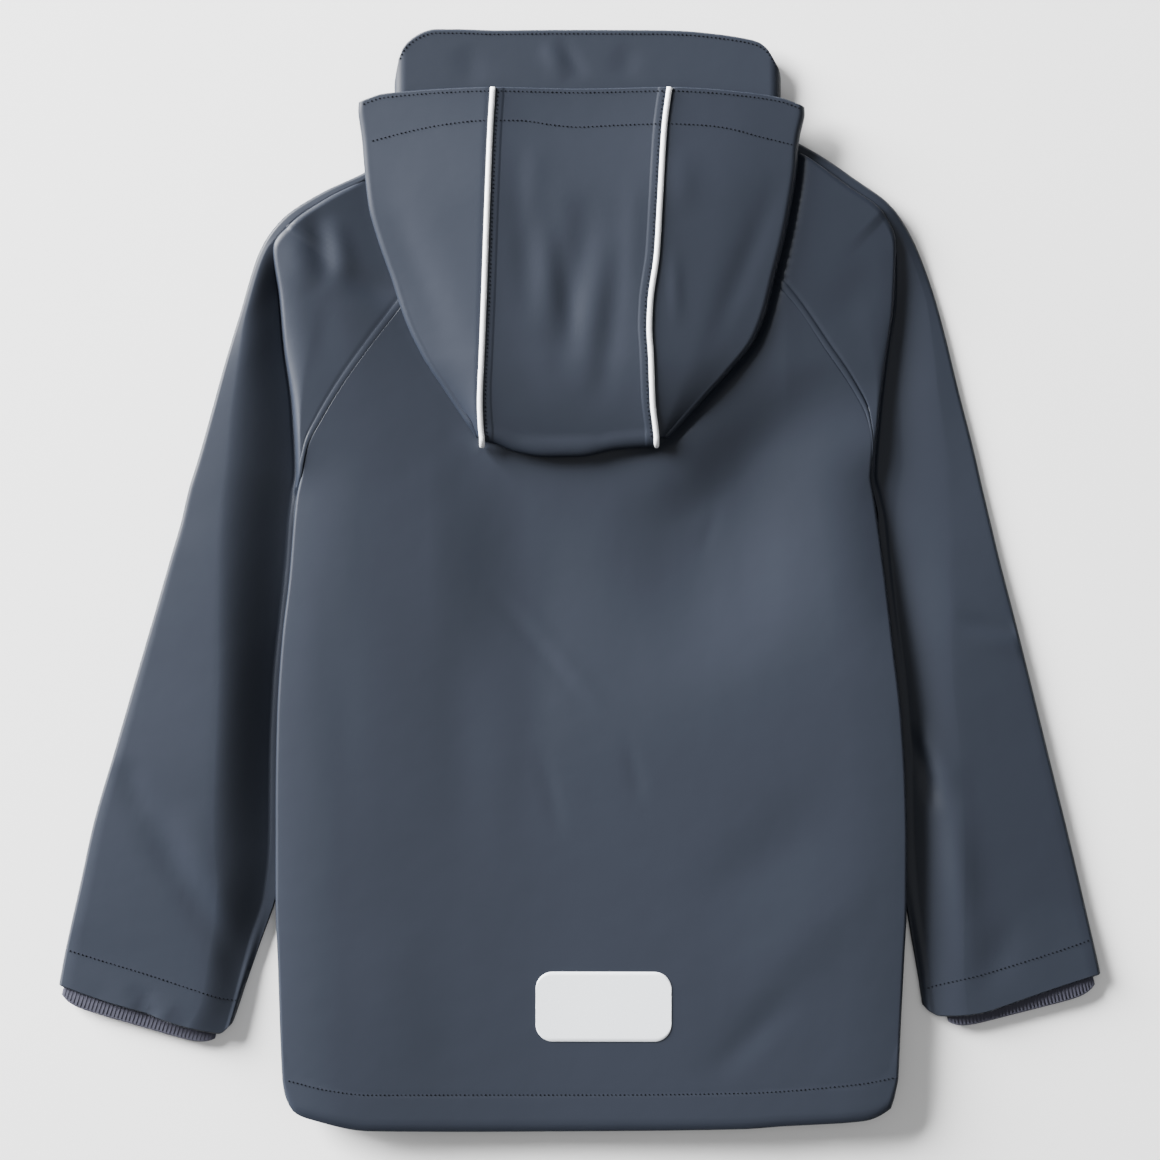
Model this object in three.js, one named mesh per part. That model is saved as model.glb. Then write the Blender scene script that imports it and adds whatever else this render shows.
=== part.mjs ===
import * as THREE from 'three';

// A child's hooded raincoat, size 122, laid flat with its back up and its hood and collar smoothed out.
// Millimetres. +X is the wearer's right, +Y runs from the hem to the collar, +Z is up from the surface.

// Driving dimensions
const cloth = 1.6; // wall of the coated cloth
const seam = 0.3; // gap between pieces that are sewn edge to edge
const layer = 0.4; // gap between layers that lie on each other
const loft = 3.7; // air between the two layers of the body, the sleeves and the collar
const restTop = 2 * cloth + loft; // top of the laid body above the surface
const foldRoll = 5; // how far a rounded fold reaches in from its edge
const turnSteps = 4; // facets round a fold
const placketHalf = 16; // half of the overlap of the two fronts
const placketStep = cloth + 1.6; // rise of the right front over the left front and the studs
const tuckDepth = 22; // how far a sleeve lies under the body's side
const sleeveFlat = 2 * cloth + layer; // height of a sleeve where the body lies on it
const sideLift = sleeveFlat + 0.5; // rise of the front where it lies on a sleeve
const hoodFloor = restTop + layer; // underside of the hood, which lies on the back
const hoodLoft = 2.5; // air between the hood's two layers
const hoodTurn = 5; // how far the hood's folds reach in from its outline
const pipingRadius = 1.65;
const studRadius = 6;
const studThickness = 1;
const patchSize = { width: 81, height: 41.5, corner: 10, thickness: 0.5, x: 14.5, y: -255.3 };

// Named columns for a short table of sizes
const table = (columns, ...rows) =>
  rows.map((row) => Object.fromEntries(columns.map((name, i) => [name, row[i]])));

// Side seams of the body, from the armpit to the hem
const bodySide = table(['y', 'left', 'right'],
  [62, -166.5, 174.5],
  [38, -170, 178.5],
  [10, -173, 182],
  [-40, -178.2, 188],
  [-85, -181, 193],
  [-135, -181.8, 195.6],
  [-190, -181.8, 195.8],
  [-250, -179.8, 193],
  [-297, -178, 190.8]);

// Lower edge of the body, with its rounded corners
const hemEdge = table(['x', 'y'],
  [-178, -296],
  [-175.5, -309.5],
  [-170, -318.5],
  [-161.5, -322.3],
  [-125, -329.2],
  [-60, -330],
  [33, -329.5],
  [98, -328],
  [169.5, -323.2],
  [185.7, -316],
  [190.8, -296]);

// Raglan seams, from the armpit to the neck
const raglan = table(['y', 'left', 'right'],
  [62, -166.5, 174.5],
  [78, -163.3, 175.4],
  [96, -154, 172.8],
  [117, -141.5, 162],
  [140, -125, 146],
  [165, -106.3, 128.5],
  [190, -89, 107.5],
  [220, -71, 84],
  [250, -55.5, 66]);

// Where the cross-rows of the pieces meet the seams, so that neighbours share their points
const sideRows = [-285, -258, -232, -200, -160, -115, -70, -25, 10, 38];
const backStations = [62, 78, 96, 117, 140, 165, 190, 220, 250];
const frontStations = [62, 78, 96, 117, 140, 165, 190, 215, 236];

// Neckline at the back and at the front
const backNeck = table(['x', 'y'],
  [-112, 258.6],
  [-107.7, 258],
  [-55.5, 250],
  [0, 246.5],
  [66, 250],
  [117.3, 269.4],
  [122, 270.5]);
const frontNeck = table(['x', 'y'],
  [-112, 260.1],
  [-107.7, 258],
  [-62, 236],
  [-30, 221.5],
  [0, 217.5],
  [30, 221.5],
  [74, 236],
  [117.3, 269.4],
  [122, 273]);

// Head of each sleeve: a row from the neck to the armpit, with the shoulder fold and the outline
const headColumns = ['foldX', 'foldY', 'drop', 'outerX', 'outerY'];
const sleeveHead = {
  left: table(headColumns,
    [-82, 254, 0, -107.7, 258],
    [-103, 233.5, 0, -128.1, 244.8],
    [-130, 214, 0, -155.7, 231.6],
    [-154, 199, 0.2, -178, 216.6],
    [-182.5, 197, 1.2, -193, 194.5],
    [-180, 172, 2, -204, 157.5],
    [-177, 141, 2.4, -212.6, 129],
    [-171.6, 103, 2.6, -220, 102],
    [-168.6, 64, 2.6, -228.6, 71.5]),
  right: table(headColumns,
    [92, 260, 0, 117.3, 269.4],
    [114, 237, 0, 143.7, 255],
    [140, 219, 0, 165.9, 240],
    [162, 202, 0.2, 186.3, 225],
    [189, 199, 1.2, 200.5, 204.5],
    [187.5, 166, 2, 211.6, 175],
    [183.5, 136, 2.4, 219.5, 147],
    [179.6, 104, 2.6, 227.4, 114.5],
    [176.8, 64, 2.6, 236.5, 79]),
};

// Tube of each sleeve: a row from the armpit to the cuff, with the underarm seam, the edge of the part
// that the body covers, the outline, and the heights at the seam and past that edge
const tubeColumns = ['innerX', 'innerY', 'foldX', 'foldY', 'outerX', 'outerY', 'seamTop', 'valleyTop'];
const sleeveTube = {
  left: table(tubeColumns,
    [-169.4, 50, -172.4, 50.5, -234, 54, 5.2, 4.2],
    [-171.4, 36, -174.4, 36.5, -238.5, 34.5, 3.6, 3.7],
    [-164, 14, -175.4, 14, -244.5, 14, 3.6, 3.6],
    [-156.5, -22, -178.8, -22, -254.3, -20, 3.6, 3.6],
    [-157.5, -62, -182, -61, -265.2, -57, 3.6, 3.6],
    [-164, -108, -184, -107, -278, -101, 3.6, 3.6],
    [-174, -156, -184.4, -155, -291.3, -146, 3.6, 3.8],
    [-183.2, -192, -188, -191, -299.3, -182, 3.6, 4.6],
    [-192, -217, -197, -216, -304.8, -206, 3.6, 6.9],
    [-200.5, -242, -205.5, -241, -309.2, -226, 3.6, 6.9],
    [-206.3, -259, -211, -258.3, -312.3, -243, 3.6, 6.9]),
  right: table(tubeColumns,
    [177.4, 50, 180.4, 50.5, 242, 55, 5.2, 4.2],
    [179.8, 36, 182.8, 36.5, 247, 34, 3.6, 3.7],
    [173, 14, 185, 14, 252, 13, 3.6, 3.6],
    [167, -22, 189, -22, 261, -22, 3.6, 3.6],
    [170, -62, 194, -61, 271, -62, 3.6, 3.6],
    [178, -108, 197.6, -107, 282.3, -108, 3.6, 3.6],
    [188, -156, 198.6, -155, 293.7, -154, 3.6, 3.8],
    [196.6, -194, 201.4, -193, 302.4, -191, 3.6, 4.6],
    [200.6, -218, 205.6, -217, 307, -211, 3.6, 6.9],
    [204, -238, 209, -237, 310.4, -226, 3.6, 6.9],
    [206.5, -255, 211.3, -254, 312.3, -236.4, 3.6, 6.9]),
};

// Lower edge of each sleeve, below the straight line between its corners
const sleeveHem = table(['across', 'left', 'right'],
  [0, 0, 0],
  [0.03, 8, 4],
  [0.1, 14.5, 8.5],
  [0.32, 13, 11],
  [0.5, 9, 8.3],
  [0.75, 5.3, 3.8],
  [1, 0, 0]);

// Outline and seams of the hood's upper layer, from the opening to the tip
const hoodShape = table(['y', 'left', 'seamLeft', 'seamRight', 'right'],
  [294, -132.6, -51.6, 53.7, 135],
  [264, -129.6, -53.3, 50.4, 130.8],
  [224, -125.7, -54.9, 48, 126],
  [198, -118, -56, 46.4, 120.6],
  [180, -112, -56.6, 44.2, 116],
  [160, -105.3, -57.3, 42, 110.8],
  [138, -95.5, -58.1, 42.2, 101.5],
  [118, -83.5, -59, 43.2, 82.5],
  [100, -71.5, -59.2, 44.4, 65.5],
  [84, -58.6, -57.9, 46.3, 50.5]);

// Opening edge and tip of the hood
const hoodOpening = table(['x', 'y'],
  [-132, 285.6],
  [-118, 290],
  [-84, 292.8],
  [-52, 293.6],
  [0, 292.9],
  [54, 293.7],
  [84, 292.2],
  [120, 287.6],
  [134.2, 282.6]);
const hoodTip = table(['x', 'y'],
  [-58, 83.2],
  [-37, 76.8],
  [-19, 74],
  [1, 74.4],
  [23, 78.6],
  [46.5, 80.4]);

// Lower layer of the hood, from the neck seam to the tip
const hoodUnder = { neckY: 247.5, seamLeft: -45, seamRight: 38 };

// Soft folds of the hood's centre panel: a line, its half-width and its height
const centreFolds = table(['x1', 'y1', 'x2', 'y2', 'half', 'height'],
  [-38, 230, -30, 110, 9, -1],
  [-14, 215, -24, 130, 8, 1.1],
  [2, 220, -4, 150, 7, -1.2],
  [16, 205, 6, 100, 9, 1.1],
  [32, 230, 30, 140, 7, -0.9]);

// Outer end of the collar's top edge and of its front
const collarTop = table(['x', 'y'],
  [-110.7, 292.2],
  [-109.7, 302.4],
  [-107.7, 313.8],
  [-100.5, 324],
  [-86.7, 330],
  [-50, 329],
  [46, 329],
  [79.5, 327],
  [106.5, 322.6],
  [116.7, 311.2],
  [120, 300],
  [120.4, 287.6]);
const collarFrontTop = 277; // height of the collar's front ends

// Rib-knit inner cuffs: the middle of the lower edge, its direction and its width
const ribCuffs = {
  left: { x: -265.6, y: -264.6, angle: 163.8, width: 90 },
  right: { x: 266, y: -256.2, angle: 14.4, width: 86 },
};
const rib = { count: 84, raise: 0.15, wall: 1.2, length: 24, height: 3.1, bottom: 1.9, turn: 3 };

// Shared helpers
const mix = (from, to, share) => from + (to - from) * share;

function ease(from, to, at) {
  const share = THREE.MathUtils.clamp((at - from) / (to - from), 0, 1);
  return share * share * (3 - 2 * share);
}

// A smooth curve through one column of a table, without overshoot
function curve(rows, key, name) {
  const points = rows.map((row) => [row[key], row[name]]).sort((a, b) => a[0] - b[0]);
  const slopes = points.slice(1).map((p, i) => (p[1] - points[i][1]) / (p[0] - points[i][0]));
  const tangent = (i) => {
    if (i === 0 || i === slopes.length) return slopes[Math.min(i, slopes.length - 1)];
    const before = slopes[i - 1];
    const after = slopes[i];
    return before * after <= 0 ? 0 : (2 * before * after) / (before + after);
  };
  return (at) => {
    let i = 0;
    while (i < points.length - 2 && at > points[i + 1][0]) i += 1;
    const [x0, y0] = points[i];
    const [x1, y1] = points[i + 1];
    const width = x1 - x0;
    const t = THREE.MathUtils.clamp((at - x0) / width, 0, 1);
    const start = (1 + 2 * t) * (1 - t) * (1 - t) * y0 + t * (1 - t) * (1 - t) * width * tangent(i);
    return start + t * t * (3 - 2 * t) * y1 - t * t * (1 - t) * width * tangent(i + 1);
  };
}

const byName = (rows, key, names) => Object.fromEntries(names.map((name) => [name, curve(rows, key, name)]));
const sideAt = byName(bodySide, 'y', ['left', 'right']);
const raglanAt = byName(raglan, 'y', ['left', 'right']);
const hoodAt = byName(hoodShape, 'y', ['left', 'seamLeft', 'seamRight', 'right']);
const hemAt = curve(hemEdge, 'x', 'y');
const backNeckAt = curve(backNeck, 'x', 'y');
const frontNeckAt = curve(frontNeck, 'x', 'y');
const hoodOpeningAt = curve(hoodOpening, 'x', 'y');
const hoodTipAt = curve(hoodTip, 'x', 'y');
const collarTopAt = curve(collarTop, 'x', 'y');

// Steps from 0 to 1, close together at both ends
const spread = (count) => Array.from({ length: count + 1 }, (_, i) => (1 - Math.cos((Math.PI * i) / count)) / 2);
const even = (count) => Array.from({ length: count + 1 }, (_, i) => i / count);

// A wall of cloth through a grid of middle points, closed along its edges.
// A ring joins its last column to its first. Raise lifts the outer face column by column.
function clothWall(grid, wall, { ring = false, raise = () => 0 } = {}) {
  const rows = grid.length;
  const columns = grid[0].length;
  const near = (j, i) => {
    const column = ring ? (i + columns) % columns : THREE.MathUtils.clamp(i, 0, columns - 1);
    return grid[THREE.MathUtils.clamp(j, 0, rows - 1)][column];
  };
  const outer = [];
  const inner = [];
  for (let j = 0; j < rows; j += 1) {
    for (let i = 0; i < columns; i += 1) {
      const across = near(j, i + 1).clone().sub(near(j, i - 1));
      const along = near(j + 1, i).clone().sub(near(j - 1, i));
      const normal = across.cross(along).normalize();
      const middle = grid[j][i];
      outer.push(middle.clone().addScaledVector(normal, wall / 2 + raise(i)));
      inner.push(middle.clone().addScaledVector(normal, -wall / 2));
    }
  }
  const points = [...outer, ...inner];
  const faces = [];
  const quad = (a, b, c, d) => faces.push(a, b, c, a, c, d);
  const at = (j, i) => j * columns + (i % columns);
  const under = outer.length;
  const lastColumn = ring ? columns : columns - 1;
  for (let j = 0; j < rows - 1; j += 1) {
    for (let i = 0; i < lastColumn; i += 1) {
      quad(at(j, i), at(j, i + 1), at(j + 1, i + 1), at(j + 1, i));
      quad(under + at(j, i), under + at(j + 1, i), under + at(j + 1, i + 1), under + at(j, i + 1));
    }
    if (!ring) {
      quad(at(j, 0), at(j + 1, 0), under + at(j + 1, 0), under + at(j, 0));
      quad(at(j + 1, columns - 1), at(j, columns - 1), under + at(j, columns - 1), under + at(j + 1, columns - 1));
    }
  }
  for (let i = 0; i < lastColumn; i += 1) {
    quad(at(0, i + 1), at(0, i), under + at(0, i), under + at(0, i + 1));
    quad(at(rows - 1, i), at(rows - 1, i + 1), under + at(rows - 1, i + 1), under + at(rows - 1, i));
  }
  return facingOut(points, faces);
}

// A closed mesh whose faces point out
function facingOut(points, faces) {
  let volume = 0;
  for (let i = 0; i < faces.length; i += 3) {
    const [a, b, c] = [points[faces[i]], points[faces[i + 1]], points[faces[i + 2]]];
    volume += a.dot(b.clone().cross(c));
  }
  const index = volume > 0 ? faces : faces.map((_, i) => faces[i - (i % 3) + [0, 2, 1][i % 3]]);
  const geometry = new THREE.BufferGeometry().setFromPoints(points);
  geometry.setIndex(index);
  geometry.computeVertexNormals();
  return geometry;
}

// The neckline at a point: the back's on the upper layer, the front's on the lower one, and between on a fold
function neckAt(x, z) {
  const share = (z - cloth / 2) / (restTop - cloth);
  return mix(frontNeckAt(x), backNeckAt(x), THREE.MathUtils.clamp(share, 0, 1));
}

// Points round a fold, from the upper layer's middle height to the lower one's
function foldPoints(edge, outward, reach, upperZ, lowerZ) {
  return even(turnSteps).slice(1, -1).map((share) => {
    const angle = Math.PI * (0.5 - share);
    return new THREE.Vector3(
      edge.x + outward.x * reach * Math.cos(angle),
      edge.y + outward.y * reach * Math.cos(angle),
      mix(lowerZ, upperZ, (1 + Math.sin(angle)) / 2),
    );
  });
}

// Heights of the body

const nearSide = (x, y) => (x < 0 ? x - sideAt.left(y) : sideAt.right(y) - x);

// Depth of the sleeve that lies under the side at this height
function tuck(y) {
  const share = THREE.MathUtils.clamp((37 - y) / (37 + 189), 0, 1);
  return tuckDepth * Math.sin(Math.PI * share);
}

// Underside of the front: on the surface, and up over the sleeves at both sides
function frontFloor(x, y) {
  const along = ease(62, 40, y) * ease(-230, -202, y);
  const across = 1 - ease(tuck(y) + 3, tuck(y) + 37, nearSide(x, y));
  return sideLift * along * across;
}

// Air between the front and the back: little at the side seams and at the hem's ends
function bodyLoft(x, y) {
  const inward = THREE.MathUtils.clamp(nearSide(x, y) / 16, 0, 1);
  const rolled = Math.sqrt(1 - (1 - inward) * (1 - inward));
  const belowArmpit = ease(74, 50, y);
  const atHem = ease(-300, -329, y) * ease(60, 110, Math.abs(x - 6));
  return Math.max(0.5, loft * mix(1, rolled, belowArmpit) * (1 - 0.6 * atHem));
}

const backMiddle = (x, y) => frontFloor(x, y) + cloth + bodyLoft(x, y) + cloth / 2;

// Rise of the right front over the left one
const overPlacket = (x) => placketStep * ease(placketHalf + 16, placketHalf + 2, x);

// Edges of a body panel at one cross-row: the hem, a side row or a raglan station
function panelRow(y, inset) {
  const raglanRow = y >= backStations[0];
  const at = raglanRow ? raglanAt : sideAt;
  const gap = raglanRow ? seam / 2 : inset;
  return { left: at.left(y) + gap, right: at.right(y) - gap };
}

const rowsUp = (stations) => [null, ...sideRows, ...stations];

function backPanel() {
  const columns = spread(18);
  const grid = rowsUp(backStations).map((row) => {
    const edges = row === null ? { left: -178, right: 190.8 } : panelRow(row, 0);
    return columns.map((share) => {
      const x = mix(edges.left, edges.right, share);
      const y = row === null ? hemAt(x) : row === backStations.at(-1) ? backNeckAt(x) : row;
      return new THREE.Vector3(x, y, backMiddle(x, y));
    });
  });
  return clothWall(grid, cloth);
}

// A front runs from its side seam to just past the middle, where the right one lies on the left one
function frontPanel(side) {
  const right = side === 'right';
  const toMiddle = [0, 0.035, 0.1, 0.19, 0.32, 0.5, 0.68, 0.84];
  if (!right) toMiddle.push(1);
  const overlap = right ? [placketHalf + 16, placketHalf + 9, placketHalf + 2, -placketHalf] : [];
  const grid = rowsUp(frontStations).map((row) => {
    const edges = row === null ? { left: -176.5, right: 189.3 } : panelRow(row, 1);
    const middle = right ? placketHalf + 30 : placketHalf;
    const across = toMiddle.map((share) => mix(edges[side], middle, share)).concat(overlap);
    return across.map((x) => {
      const hemY = hemAt(THREE.MathUtils.clamp(x, -176.5, 189.3)) + 1.5;
      const y = row === null ? hemY : row === frontStations.at(-1) ? frontNeckAt(x) : row;
      return new THREE.Vector3(x, y, frontFloor(x, y) + cloth / 2 + (right ? overPlacket(x) : 0));
    });
  });
  return clothWall(grid, cloth);
}

// One cross-row of a sleeve: from the back seam over the fold to the outline, round it, and back underneath
function sleeveRow({ back, fold, outer, front, heights, hemDip = () => 0 }) {
  const outward = outer.clone().sub(fold).setZ(0).normalize();
  const turn = outer.clone().addScaledVector(outward, -foldRoll - cloth / 2);
  const valley = fold.clone().addScaledVector(outward, 2.6);
  const upper = [0, 0.34, 0.7, 1].map((share) => {
    const top = mix(heights.seam, heights.fold, share);
    return back.clone().lerp(fold, share).setZ(top - cloth / 2);
  });
  even(6).forEach((share) => {
    const top = mix(heights.valley, restTop, ease(0, 0.6, share));
    upper.push(valley.clone().lerp(turn, share).setZ(top - cloth / 2));
  });
  const round = foldPoints(turn, outward, foldRoll, restTop - cloth / 2, cloth / 2);
  const lower = even(5).map((share) => turn.clone().lerp(front, share).setZ(cloth / 2));
  const row = [...upper, ...round, ...lower];
  const width = outer.x - back.x;
  row.forEach((point) => {
    point.y -= hemDip(THREE.MathUtils.clamp((point.x - back.x) / width, 0, 1));
  });
  return row;
}

function sleeve(side) {
  const outwardX = side === 'left' ? -1 : 1;
  const seamShift = (outwardX * seam) / 2;
  const plan = (x, y) => new THREE.Vector3(x, y, 0);
  const head = sleeveHead[side].map((row, i) => sleeveRow({
    back: plan(raglanAt[side](backStations.at(-1 - i)) + seamShift, backStations.at(-1 - i)),
    fold: plan(row.foldX, row.foldY),
    outer: plan(row.outerX, row.outerY),
    front: plan(raglanAt[side](frontStations.at(-1 - i)) + seamShift, frontStations.at(-1 - i)),
    heights: { seam: restTop, fold: restTop, valley: restTop - row.drop },
  }));
  head[0].forEach((point) => {
    point.y = neckAt(point.x, point.z);
  });
  const hemDip = curve(sleeveHem, 'across', side);
  const tube = sleeveTube[side].map((row, i, all) => sleeveRow({
    back: plan(row.innerX, row.innerY),
    fold: plan(row.foldX, row.foldY),
    outer: plan(row.outerX, row.outerY),
    front: plan(row.innerX, row.innerY),
    heights: { seam: row.seamTop, fold: Math.min(row.valleyTop, 5), valley: row.valleyTop },
    hemDip: i === all.length - 1 ? hemDip : undefined,
  }));
  return clothWall([...head, ...tube], cloth);
}

// Height of the centre panel's soft folds at a point
function foldsAt(folds, x, y) {
  return folds.reduce((sum, fold) => {
    const run = new THREE.Vector2(fold.x2 - fold.x1, fold.y2 - fold.y1);
    const from = new THREE.Vector2(x - fold.x1, y - fold.y1);
    const along = THREE.MathUtils.clamp(from.dot(run) / run.lengthSq(), 0, 1);
    const away = from.sub(run.multiplyScalar(along)).length() / fold.half;
    return sum + fold.height * Math.exp(-away * away);
  }, 0);
}

const hoodLowerMiddle = hoodFloor + cloth / 2;
const hoodUpperMiddle = hoodFloor + cloth + hoodLoft + cloth / 2;

// A side panel of the hood: from its piped seam to the outline, round it, and back to the lower seam
function hoodSide(side) {
  const outwardX = side === 'left' ? -1 : 1;
  const seamName = side === 'left' ? 'seamLeft' : 'seamRight';
  const clear = pipingRadius + seam;
  const levels = [294, 272, 246, 220, 198, 178, 158, 138, 118, 101, 89];
  const grid = levels.map((level, j) => {
    const opening = j === 0;
    const share = j / (levels.length - 1);
    const seamX = hoodAt[seamName](level) + outwardX * clear;
    const outline = opening ? { left: -131.8, right: 134.2 }[side] : hoodAt[side](level);
    const edgeX = outline - (outwardX * cloth) / 2;
    const reach = Math.min(hoodTurn, Math.abs(edgeX - seamX) * 0.45);
    const turnX = edgeX - outwardX * reach;
    const levelAt = (x) => (opening ? hoodOpeningAt(x) : level);
    const upper = even(6).map((step) => {
      const x = mix(seamX, turnX, step);
      return new THREE.Vector3(x, levelAt(x), hoodUpperMiddle);
    });
    const edge = upper.at(-1).clone();
    const outward = new THREE.Vector3(outwardX, 0, 0);
    const round = foldPoints(edge, outward, reach, hoodUpperMiddle, hoodLowerMiddle);
    const underX = mix(hoodUnder[seamName], hoodAt[seamName](84), share) + outwardX * seam / 2;
    const underY = mix(hoodUnder.neckY, levels.at(-1), share);
    const lower = even(4).map((step) =>
      new THREE.Vector3(mix(turnX, underX, step), mix(edge.y, underY, step), hoodLowerMiddle));
    return [...upper, ...round, ...lower];
  });
  return clothWall(grid, cloth);
}

// The centre panel of the hood: down the upper layer, round the tip, and up the lower layer to the neck
function hoodCentre() {
  const clear = pipingRadius + seam;
  const columns = even(12);
  const rows = [];
  even(12).forEach((down) => {
    rows.push(columns.map((share) => {
      const level = mix(293.6, 82, down);
      const x = mix(hoodAt.seamLeft(level) + clear, hoodAt.seamRight(level) - clear, share);
      const y = mix(hoodOpeningAt(x), hoodTipAt(x) + hoodTurn, down);
      return new THREE.Vector3(x, y, hoodUpperMiddle + foldsAt(centreFolds, x, y));
    }));
  });
  const tip = rows.at(-1);
  even(turnSteps).slice(1, -1).forEach((share) => {
    const angle = Math.PI * (0.5 - share);
    rows.push(tip.map((point) => new THREE.Vector3(
      point.x,
      point.y - hoodTurn * Math.cos(angle),
      mix(hoodLowerMiddle, point.z, (1 + Math.sin(angle)) / 2),
    )));
  });
  even(4).forEach((up) => {
    rows.push(columns.map((share, i) => {
      const low = tip[i];
      const neckX = mix(hoodUnder.seamLeft + seam / 2, hoodUnder.seamRight - seam / 2, share);
      return new THREE.Vector3(mix(low.x, neckX, up), mix(low.y, hoodUnder.neckY, up), hoodLowerMiddle);
    }));
  });
  return clothWall(rows, cloth);
}

// The collar: from the left front end round the neck to the right front end
function collar() {
  const sideX = { left: -110.7, right: 120.4 };
  const upperZ = restTop - cloth / 2;
  const lowerZ = cloth / 2;
  const along = even(4);
  const upright = (x, z, top, lift = 0) => {
    const base = neckAt(x, z) + seam + 0.2;
    return along.map((share) => new THREE.Vector3(x, mix(base, top, share), z + lift));
  };
  const turnLeft = sideX.left + foldRoll + cloth / 2;
  const turnRight = sideX.right - foldRoll - cloth / 2;
  const frontTopAt = (x, edge) => mix(collarTopAt(edge), collarFrontTop, ease(edge, 0, x));
  const front = (x, edge) => upright(x, lowerZ, frontTopAt(x, edge), edge > 0 ? overPlacket(x) : 0);
  const back = (x) => upright(x, upperZ, collarTopAt(x));
  const turn = (edge, outward) => even(turnSteps).slice(1, -1).map((share) => {
    const angle = Math.PI * (share - 0.5);
    const x = edge + outward * foldRoll * Math.cos(angle);
    const z = mix(lowerZ, upperZ, (1 + Math.sin(angle)) / 2);
    return upright(x, z, collarTopAt(x));
  });
  const columns = [
    ...even(8).map((share) => front(mix(placketHalf, turnLeft, share), sideX.left)),
    ...turn(turnLeft, -1),
    ...spread(14).map((share) => back(mix(turnLeft, turnRight, share))),
    ...turn(turnRight, 1).reverse(),
    ...even(6).slice(1).reverse().map((share) => front(mix(placketHalf + 16, turnRight, share), sideX.right)),
    ...[placketHalf + 16, placketHalf + 9, placketHalf + 2, -placketHalf].map((x) => front(x, sideX.right)),
  ];
  return clothWall(columns, cloth);
}

// Reflective piping along a seam of the hood, bent down over the tip
function piping(seamName) {
  const z = hoodUpperMiddle + 1;
  const levels = [296, 270, 240, 215, 190, 168, 148, 128, 108, 94];
  const path = levels.map((y) => new THREE.Vector3(hoodAt[seamName](y), Math.min(y, 294.4), z));
  const tipX = hoodAt[seamName](84);
  path.push(new THREE.Vector3(tipX, 85.5, z - 0.6));
  path.push(new THREE.Vector3(tipX, 81.2, z - 3));
  const section = new THREE.Shape().absarc(0, 0, pipingRadius, 0, Math.PI * 2);
  return new THREE.ExtrudeGeometry(section, {
    steps: 26,
    curveSegments: 8,
    bevelEnabled: false,
    extrudePath: new THREE.CatmullRomCurve3(path),
  });
}

// Reflective patch, pressed onto the back
function reflectivePatch() {
  const { width, height, corner, thickness, x, y } = patchSize;
  const grid = even(3).map((up) => spread(14).map((share) => {
    const fromMiddle = mix(-width / 2, width / 2, share);
    const past = Math.max(0, Math.abs(fromMiddle) - (width / 2 - corner));
    const half = height / 2 - corner + Math.sqrt(corner * corner - past * past);
    const at = new THREE.Vector2(x + fromMiddle, y + mix(-half, half, up));
    const top = backMiddle(at.x, at.y) + cloth / 2;
    return new THREE.Vector3(at.x, at.y, top + seam + thickness / 2);
  }));
  return clothWall(grid, thickness);
}

// Rib-knit cuff: a flattened tube whose outer face is ribbed, with rounded lower corners
function ribCuff(side) {
  const { x, y, angle, width } = ribCuffs[side];
  const turned = THREE.MathUtils.degToRad(angle);
  const across = new THREE.Vector3(Math.cos(turned), Math.sin(turned), 0);
  const up = new THREE.Vector3(-across.y, across.x, 0);
  if (up.y < 0) up.negate();
  const half = width / 2;
  const rise = (rib.height - rib.wall) / 2;
  const middleZ = rib.bottom + rib.height / 2;
  const flat = 2 * (half - rib.turn);
  const count = rib.count * 2;
  const turnPoints = 8;
  const flatPoints = count / 2 - turnPoints;
  const sectionAt = (i) => {
    const lower = i >= count / 2;
    const step = i % (count / 2);
    const sign = lower ? -1 : 1;
    if (step < flatPoints) return [sign * mix(-flat / 2, flat / 2, step / flatPoints), sign * rise];
    const bend = Math.PI * (0.5 - (step - flatPoints) / turnPoints);
    return [sign * (flat / 2 + rib.turn * Math.cos(bend)), sign * rise * Math.sin(bend)];
  };
  const grid = [0, 1].map((row) => Array.from({ length: count }, (_, i) => {
    const [along, lift] = sectionAt(i);
    const rounded = 5 * (Math.abs(along) / half) ** 10;
    const height = row === 0 ? rounded : rib.length;
    return new THREE.Vector3(x, y, middleZ + lift).addScaledVector(across, along).addScaledVector(up, height);
  }));
  return clothWall(grid, rib.wall, { ring: true, raise: (i) => (i % 2 ? rib.raise : -rib.raise) });
}

// A closed press stud, flat between the two fronts
function pressStud() {
  return new THREE.CylinderGeometry(studRadius, studRadius, studThickness, 16).rotateX(Math.PI / 2);
}

// Materials
const shell = new THREE.MeshStandardMaterial({ color: 0x47505e, roughness: 0.5, metalness: 0 });
const knit = new THREE.MeshStandardMaterial({ color: 0x454654, roughness: 0.95, metalness: 0 });
const pipingSilver = new THREE.MeshStandardMaterial({ color: 0xf2f3f5, roughness: 0.45, metalness: 0 });
const patchSilver = new THREE.MeshStandardMaterial({ color: 0xe2e6eb, roughness: 0.4, metalness: 0 });
const studMetal = new THREE.MeshStandardMaterial({ color: 0x4a4d55, roughness: 0.35, metalness: 1 });

const coat = new THREE.Group();

function addPiece(name, geometry, material, parent = coat) {
  const piece = new THREE.Mesh(geometry, material);
  piece.name = name;
  parent.add(piece);
  return piece;
}

addPiece('back', backPanel(), shell);
addPiece('front_left', frontPanel('left'), shell);
addPiece('front_right', frontPanel('right'), shell);
addPiece('sleeve_left', sleeve('left'), shell);
addPiece('sleeve_right', sleeve('right'), shell);
addPiece('collar', collar(), shell);

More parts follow.
